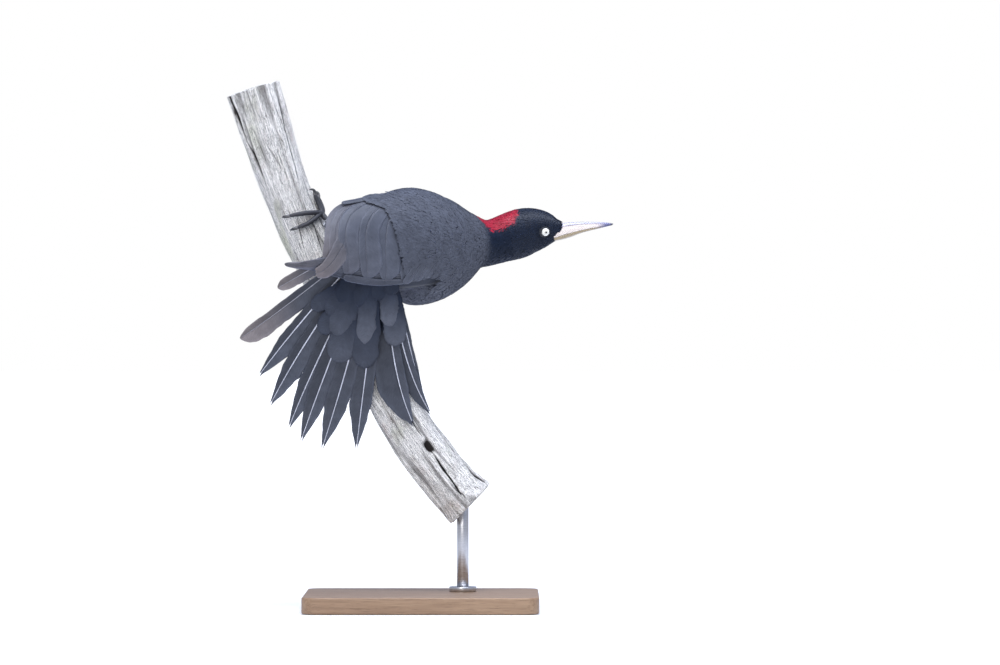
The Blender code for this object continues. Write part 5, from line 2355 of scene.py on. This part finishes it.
@dataclass
class Foot:
    """A bare shank, four scaly toes and their claws.

    Attributes:
        leg: the leg that it ends.
        scute: how far apart the scutes lie.
        shank: the shank's radii from ankle to heel.
        claw_radius: half a claw's width at its root.
        horn: a claw's colour at its tip.
        quick: its colour at its root.
    """

    leg: LegForm
    scute: float = 1.7
    shank: tuple = (3.2, 2.7, 2.6, 2.7, 3.0)
    claw_radius: float = 1.95
    horn: tuple = (0.022, 0.022, 0.024)
    quick: tuple = (0.16, 0.155, 0.15)

    def scaled(self, path: Array, radius: Array, sides: int, seed: int) -> Patch:
        """A limb with scutes: each swells from a groove and ends in a small step.

        The radius grows by a rounded sawtooth of the length along the limb over its front, and
        by small pads below.

        Args:
            path: the limb's middle line.
            radius: half its width at each place of the line.
            sides: points to a ring.
            seed: for the roughness of the scutes.

        Returns:
            The closed limb, with the grooves marked in its glow.
        """
        lengths = run_of(path)
        plate = np.sin(math.pi * (lengths / self.scute % 1.0)) ** 0.5
        turn = np.linspace(0, 2 * math.pi, sides, endpoint=False)
        front = 0.5 + 0.5 * np.cos(turn)
        pads = 0.5 + 0.5 * np.sin(2 * math.pi * lengths / (3.1 * self.scute))
        swell = 0.22 * plate[:, None] * front + 0.30 * pads[:, None] * (1 - front)
        patch = tube_patch(path, radius[:, None] - 0.15 + swell, sides)
        rough = value_noise(lengths[:, None] * 1.7 + 0 * turn, turn * 2 + 0 * lengths[:, None], seed)
        patch.glow = np.clip(plate[:, None] * (0.75 + 0.35 * rough), 0, 1).ravel() * 0.9 + 0.05
        patch.colour = np.full((len(patch.points), 3), 0.1)
        return patch

    def limbs(self) -> list[Patch]:
        """Shank, knuckle and toes, each a closed shell that overlaps the next."""
        heel = self.leg.heel_place()
        ankle = np.array(self.leg.ankle, float)
        way = unit(heel - ankle)
        share = np.linspace(0, 1, 70)
        path = ankle - 2.0 * way + share[:, None] * (heel + 0.6 * way - ankle + 2.0 * way)
        radius = smooth(self.shank, share * (len(self.shank) - 1))
        radius = radius * (1 - 0.55 * eased(0.985, 1.0, share))
        found = [self.scaled(path, radius, 20, 3)]
        for number, name in enumerate(self.leg.toes):
            toe = self.leg.toe_path(name, 60)
            share, radius = np.linspace(0, 1, len(toe)), self.leg.toe_radius
            thick = np.linspace(radius + 0.6, radius - 0.2, len(toe))
            thick = thick * np.sqrt(np.clip(1.02 - share**14, 0.12, 1))
            thick = thick * (0.6 + 0.4 * eased(0.0, 0.05, share))
            found.append(self.scaled(toe, thick, 16, 5 + number))
        return found

    def claws(self) -> Patch:
        """Four hooked claws, deeper than wide, tapering to a point, pale at the root."""
        found = []
        for name in self.leg.toes:
            path = self.leg.claw_path(name, 22)
            share = np.linspace(0, 1, len(path))
            radius = self.claw_radius * (1 - share) ** 0.6 + 0.12
            claw = tube_patch(path, radius, 12, 0.72)
            dark, pale = np.array(self.horn), np.array(self.quick)
            mixed = dark + (pale - dark) * (1 - eased(0.0, 0.45, share))[:, None]
            claw.colour = np.repeat(mixed, 12, axis=0)
            found.append(claw)
        return Patch.join(found)

    def build(self) -> None:
        """The claws as a piece; the shank and toes go into the skin."""
        side = self.leg.side
        horn = HornFinish(f"claw_horn_{side}", rough=0.35).make()
        nodes = [f"claw_{side}_{name}" for name in self.leg.toes]
        make_piece(f"claws_{side}", self.claws(), (horn,), nodes)


# ---------------------------------------------------------------------------------------------
# Perch


@dataclass
class Perch:
    """A cut length of old bare branch: split along the grain, with a knot hole and sawn ends.

    Attributes:
        form: its middle line and girth.
        rows: rings along it.
        sides: points round it.
        knot: the knot hole's station, turn in degrees and size.
        cracks: how many splits it has.
        large: how many of them are long and deep.
        ends: shares of the radius at which a sawn end has rings.
    """

    GIRTH = 26.0  # millimetres round the branch for a turn of one radian
    STEP = 92.0  # millimetres along it from one station to the next
    FACE = 900.0  # where the grain of the sawn ends starts, clear of the wall's

    form: PerchForm
    rows: int = 420
    sides: int = 220
    knot: tuple = (4.42, 12.0, 6.5)
    cracks: int = 64
    large: int = 16
    ends: tuple = (0.02, 0.2, 0.4, 0.6, 0.78, 0.9, 0.96, 0.985)

    def splits(self, at: Array, turn: Array) -> Array:
        """Gouges along the grain that wander and taper to points, a few of them long and deep.

        Args:
            at: stations along the branch.
            turn: angles round it.

        Returns:
            How deep each place lies in a crack, in millimetres.
        """
        random = np.random.default_rng(SEED + 500)
        radius = 25.0
        found = np.zeros(at.shape)
        for number in range(self.cracks):
            large = number < self.large
            station, angle = random.uniform(0, self.form.last), random.uniform(-math.pi, math.pi)
            half = random.uniform(0.45, 0.8) if large else random.uniform(0.15, 0.4)
            wide = random.uniform(0.6, 0.9) if large else random.uniform(0.35, 0.55)
            deep = random.uniform(3.5, 5.0) if large else random.uniform(1.2, 2.2)
            along = (at - station) / half
            wander = 1.6 * value_noise(at * 4, 0 * at + number * 3.1, 31)
            centre = angle + random.uniform(-0.2, 0.2) * along + wander / radius
            away = (turn - centre + math.pi) % (2 * math.pi) - math.pi
            taper = np.clip(1 - along**2, 0, 1)
            width = wide * (0.3 + taper * (1 + 0.6 * value_noise(at * 9, 0 * at + number, 32)))
            valley = np.exp(-((away * radius / width) ** 2)) * taper**0.6
            found = np.maximum(found, deep * valley)
        return found

    def surface(self, at: Array, turn: Array) -> tuple[Array, Array]:
        """The wood's relief.

        Fibres are noise stretched along the grain; shallow troughs and bosses are broad noise;
        the grain bends round the knot, which is a hole in a raised ring.

        Args:
            at: stations along the branch.
            turn: angles round it.

        Returns:
            How far the wood stands out or in at each place, and the share of painted shade there,
            from cracks, the knot hole and furrows.
        """
        knot_at, knot_turn, size = self.knot
        dx = ((turn - math.radians(knot_turn) + math.pi) % (2 * math.pi) - math.pi) * self.GIRTH
        dz = (at - knot_at) * self.STEP
        away = np.hypot(dx, 0.55 * dz)
        bend = 0.22 * np.sign(dx) * np.exp(-((away / 14.0) ** 2))
        around = (turn / (2 * math.pi) + bend * 0.08) % 1.0
        fine = value_noise(around * 110, at * 5.0, 21, 110)
        grain = value_noise(around * 46, at * 2.4, 22, 46)
        broad = value_noise(around * 9, at * 2.0, 23, 9)
        furrow = np.clip(value_noise(around * 30, at * 1.5, 24, 30) - 0.35, 0, 1)
        height = 0.3 * fine + 0.7 * grain + 1.2 * broad - 2.6 * furrow
        cracks = self.splits(at, turn)
        hole = np.exp(-((away / (size * 0.62)) ** 4))
        ring = np.exp(-(((away - size * 1.15) / 2.6) ** 2))
        # The share of painted shade, deepest in cracks, the knot hole and furrows.
        deep = np.clip(cracks / 3.0 + 0.9 * hole + 0.7 * furrow, 0, 1)
        return height - cracks - 7.0 * hole + 1.2 * ring, deep

    def build(self) -> None:
        """The branch as one closed surface. At each sawn end the rings shrink to its middle."""
        form, last = self.form, self.form.last
        at = np.linspace(0.0, last, self.rows)
        turn = np.linspace(0, 2 * math.pi, self.sides, endpoint=False)
        grid_at, grid_turn = np.meshgrid(at, turn, indexing="ij")
        lift, deep = self.surface(grid_at, grid_turn)
        wall = form.point(grid_at, grid_turn, lift - 0.4)
        ends = []
        shares = np.array(self.ends)
        for row, inward, order in ((0, 3, 1), (-1, -4, -1)):
            middle = wall[row].mean(0)
            along = unit(middle - wall[inward].mean(0))
            rings = middle + (wall[row] - middle) * shares[:, None, None]
            rough = value_noise(shares[:, None] * 7 + 0 * turn, 0 * shares[:, None] + turn * 3, 41)
            step = 1.2 * eased(0.88, 1.0, shares)[:, None] - 0.35 * np.abs(rough)
            rings = rings + (0.9 - step)[..., None] * along
            ends.append(rings[::order])
        points = np.concatenate([ends[0], wall, ends[1]])
        cap = self.FACE + 25.0 * shares
        lengths = np.concatenate([cap, at * self.STEP, cap[::-1]])
        # A faint, even painted shade over the sawn ends.
        dim = np.full((len(shares), self.sides), 0.06)
        patch = Patch(points.reshape(-1, 3), tube_faces(len(points), self.sides)[:, ::-1])
        patch.barbs = stacked(turn * self.GIRTH, lengths[:, None]).reshape(-1, 2)
        patch.glow = np.concatenate([dim, deep, dim]).ravel()
        wood = WeatheredWoodFinish().make()
        make_piece("branch", patch, (wood,), ("perch",))


# ---------------------------------------------------------------------------------------------
# Stand


def lathe(profile: Sequence[tuple], x: float, y: float, hollow: bool = False) -> Patch:
    """A solid of revolution round an upright axis.

    Args:
        profile: pairs of radius and height.
        x: the axis's X.
        y: the axis's Y.
        hollow: whether the profile meets itself, round a hole.

    Returns:
        The solid.
    """
    sides = 96
    radius, height = np.array(profile, float)[..., None].swapaxes(0, 1)
    turn = np.linspace(0, 2 * math.pi, sides, endpoint=False)
    points = stacked(x + radius * np.cos(turn), y + radius * np.sin(turn), height).reshape(-1, 3)
    return Patch(points, tube_faces(len(radius) + hollow, sides, not hollow) % len(points))


@dataclass
class Stand:
    """A hardwood board, a steel rod let into the branch, and the collar at its foot.

    Attributes:
        size: the board's width, depth and height.
        corner: radius of its upright corners.
        ease: radius of its eased rims.
        rod_place: X and Y of the rod's axis.
        rod_radius: half the rod's width.
        rod_top: the height where it ends in the branch.
        collar_radius: half the collar's width.
        collar_height: how high the collar stands on the board.
    """

    size: tuple = (240.0, 190.0, 17.0)
    corner: float = 14.0
    ease: float = 1.8
    rod_place: tuple = (42.0, 25.5)
    rod_radius: float = 6.0
    rod_top: float = 122.0
    collar_radius: float = 14.0
    collar_height: float = 5.0

    def board(self) -> Patch:
        """The board: rounded rectangles stacked up an eased edge, closed over at each face."""
        wide, deep, high = self.size
        turn = np.linspace(0, math.pi / 2, 12)
        corners = []
        for start, sign in enumerate(((1, 1), (-1, 1), (-1, -1), (1, -1))):
            way = turn + start * math.pi / 2
            spot = np.array(sign) * (np.array([wide, deep]) / 2 - self.corner)
            corners.append(np.stack([np.cos(way), np.sin(way)], 1) * self.corner + spot)
        outline = np.concatenate(corners)
        rise = np.linspace(0, math.pi / 2, 7)
        inset = self.ease * (1 - np.sin(rise))
        step = self.ease * (1 - np.cos(rise))
        inset = np.concatenate([[4.0], inset, inset[::-1], [4.0]])
        level = np.concatenate([[0.0], step, high - step[::-1], [high]])
        scale = 1 - inset[:, None] / np.array([wide / 2, deep / 2])
        flat = outline[None] * scale[:, None]
        points = stacked(flat[..., 0], flat[..., 1], level[:, None]).reshape(-1, 3)
        return Patch(points, tube_faces(len(level), len(outline)))

    def build(self) -> None:
        """Board, collar and rod."""
        make_piece("board", self.board(), (BoardFinish().make(),), ("stand_base",))
        steel = BrushedSteelFinish().make()
        x, y = self.rod_place
        foot, top, ease = self.size[2] + 0.2, self.rod_top, 0.6
        outer, inner = self.collar_radius, self.rod_radius + 0.15
        brim = foot + self.collar_height
        ring = [
            (inner, foot), (outer - ease, foot), (outer, foot + ease), (outer, brim - ease),
            (outer - 0.2, brim - 0.2), (outer - ease, brim), (inner + 0.4, brim), (inner, brim - 0.4),
        ]
        collar = lathe(ring, x, y, hollow=True)
        make_piece("collar", collar, (steel,), ("stand_collar",))
        wide, narrow = self.rod_radius, self.rod_radius - ease
        rod = lathe([(narrow, foot), (wide, foot + ease), (wide, top - ease), (narrow, top)], x, y)
        make_piece("rod", rod, (steel,), ("stand_rod",))


# ---------------------------------------------------------------------------------------------
# Studio


@dataclass
class Studio:
    """Floor, sky, lamps and camera round the model.

    Attributes:
        camera_at: where the camera stands, in metres.
        lens: its focal length in millimetres, for a view 1030 wide at 5000 away.
        floor_size: how far the floor reaches, in metres.
        floor_level: its height, a hair under the stand.
        ground_glow: colour of the light from below.
        sky_glow: colour of the light from above.
        sky_strength: how strong both are.
    """

    SENSOR = 36

    camera_at: tuple = (0.0803, -4.9745, 0.2838)
    lens: float = SENSOR * 5000 / 1030
    floor_size: float = 30.0
    floor_level: float = -0.0005
    ground_glow: tuple = (0.80, 0.78, 0.76)
    sky_glow: tuple = (0.62, 0.72, 1.0)
    sky_strength: float = 0.70

    def floor(self) -> None:
        """A pale plain floor that runs out of sight."""
        mesh = bpy.data.meshes.new("studio_floor")
        half = self.floor_size
        corners = [(-half, -half, 0), (half, -half, 0), (half, half, 0), (-half, half, 0)]
        mesh.from_pydata(corners, [], [(0, 1, 2, 3)])
        pale, white = (0.86, 0.86, 0.86, 1), (1, 1, 1, 1)
        recipe = Recipe(
            "studio_floor",
            Base_Color=pale,
            Roughness=0.9,
            Specular_IOR_Level=0.1,
            Emission_Color=white,
        )
        distance = recipe.node("ShaderNodeVectorMath", operation="LENGTH")
        recipe.feed(distance.inputs[0], recipe.place())
        far = recipe.spread(distance.outputs["Value"], 0.5, 2.2, 0.15, 1.0)
        seen = recipe.node("ShaderNodeLightPath").outputs["Is Camera Ray"]
        recipe.feed(recipe.shader.inputs["Emission Strength"], recipe.times(far, seen))
        mesh.materials.append(recipe.material)
        floor = add_object("studio_floor", mesh)
        floor.location.z = self.floor_level

    def lamp(
        self, name: str, place: tuple, aim: tuple, size: float, power: float, colour: tuple
    ) -> None:
        """A square soft lamp at a place, turned to its aim.

        Args:
            name: the lamp's name.
            place: where it hangs, in metres.
            aim: the place that it points at.
            size: its side, in metres.
            power: its power, in watts.
            colour: the light's colour.
        """
        data = bpy.data.lights.new(name, "AREA")
        data.size, data.energy, data.color = size, power, colour
        lamp = add_object(name, data)
        lamp.location = place
        way = Vector(aim) - Vector(place)
        lamp.rotation_euler = way.to_track_quat("-Z", "Y").to_euler()

    def sky(self) -> None:
        """Plain white where the camera looks, and a soft cool sky for the light."""
        world = bpy.data.worlds.new("studio_sky")
        bpy.context.scene.world = world
        world.use_nodes = True
        world.node_tree.nodes.clear()
        nodes = Nodes(world.node_tree)
        split = nodes.node("ShaderNodeSeparateXYZ")
        nodes.feed(split.inputs[0], nodes.node("ShaderNodeTexCoord").outputs["Generated"])
        height = nodes.fill(nodes.node("ShaderNodeMapRange"), split.outputs["Z"], -1.0)
        stops = ((0.45, self.ground_glow), (0.75, self.sky_glow))
        seen = nodes.fill(nodes.node("ShaderNodeBackground"), (1, 1, 1, 1), 1.0)
        sky = nodes.ramp(height, stops)
        lit = nodes.fill(nodes.node("ShaderNodeBackground"), sky, self.sky_strength)
        camera = nodes.node("ShaderNodeLightPath").outputs["Is Camera Ray"]
        mixed = nodes.fill(nodes.node("ShaderNodeMixShader"), camera, lit, seen)
        nodes.feed(nodes.node("ShaderNodeOutputWorld").inputs["Surface"], mixed)

    def camera(self) -> None:
        """The camera, level, looking along +Y."""
        data = bpy.data.cameras.new("camera")
        data.lens, data.sensor_width, data.clip_end = self.lens, self.SENSOR, 100
        camera = add_object("camera", data)
        camera.location = self.camera_at
        camera.rotation_euler = (math.pi / 2, 0, 0)
        bpy.context.scene.camera = camera

    def build(self) -> None:
        """Sets the whole studio."""
        self.floor()
        self.sky()
        self.lamp("overhead", (0.2, -0.5, 2.4), (0.0, 0.05, 0.3), 1.6, 69.0, (0.82, 0.87, 1.0))
        self.lamp("fill", (-0.8, -3.2, 1.8), (0.0, 0.0, 0.3), 2.0, 48.0, (1.0, 0.965, 0.92))
        view = bpy.context.scene.view_settings
        view.view_transform, view.look = "Standard", "None"
        self.camera()


def main() -> None:
    """Builds skin, coat, large feathers, head parts, feet, perch, stand and studio in turn."""
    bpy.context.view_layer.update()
    markings = Markings()
    body = BodyForm()
    wings = (WingForm(side=1), WingForm(side=-1, tuck=(62.0, -11.0, 0.25, 0.8, 32.0, 30.0)))
    eyes = (EyeForm(side=1), EyeForm(side=-1))
    Skin(body, wings, eyes, LEGS, markings).build()
    Coat(body, wings, eyes, LEGS, markings).build()
    webs = FeatherFinish("feathers_flight", streak=0.22, rough=0.42).make()
    soft = FeatherFinish("feathers_shoulder", streak=0.3, rough=0.5, sheen=0.16).make()
    shafts = ShaftFinish().make()
    for form, fold in zip(wings, (1.0, 0.4), strict=True):
        Wing(form, markings, fold=fold).build(soft, webs, shafts)
    Tail(FanForm(), markings).build(webs, shafts)
    Bill().build()
    for form in eyes:
        Eye(form).build()
    for leg in LEGS:
        Foot(leg).build()
    Perch(PerchForm()).build()
    Stand().build()
    Studio().build()
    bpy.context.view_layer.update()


if __name__ == "__main__":
    logging.basicConfig(level=logging.INFO, format="%(message)s")
    main()
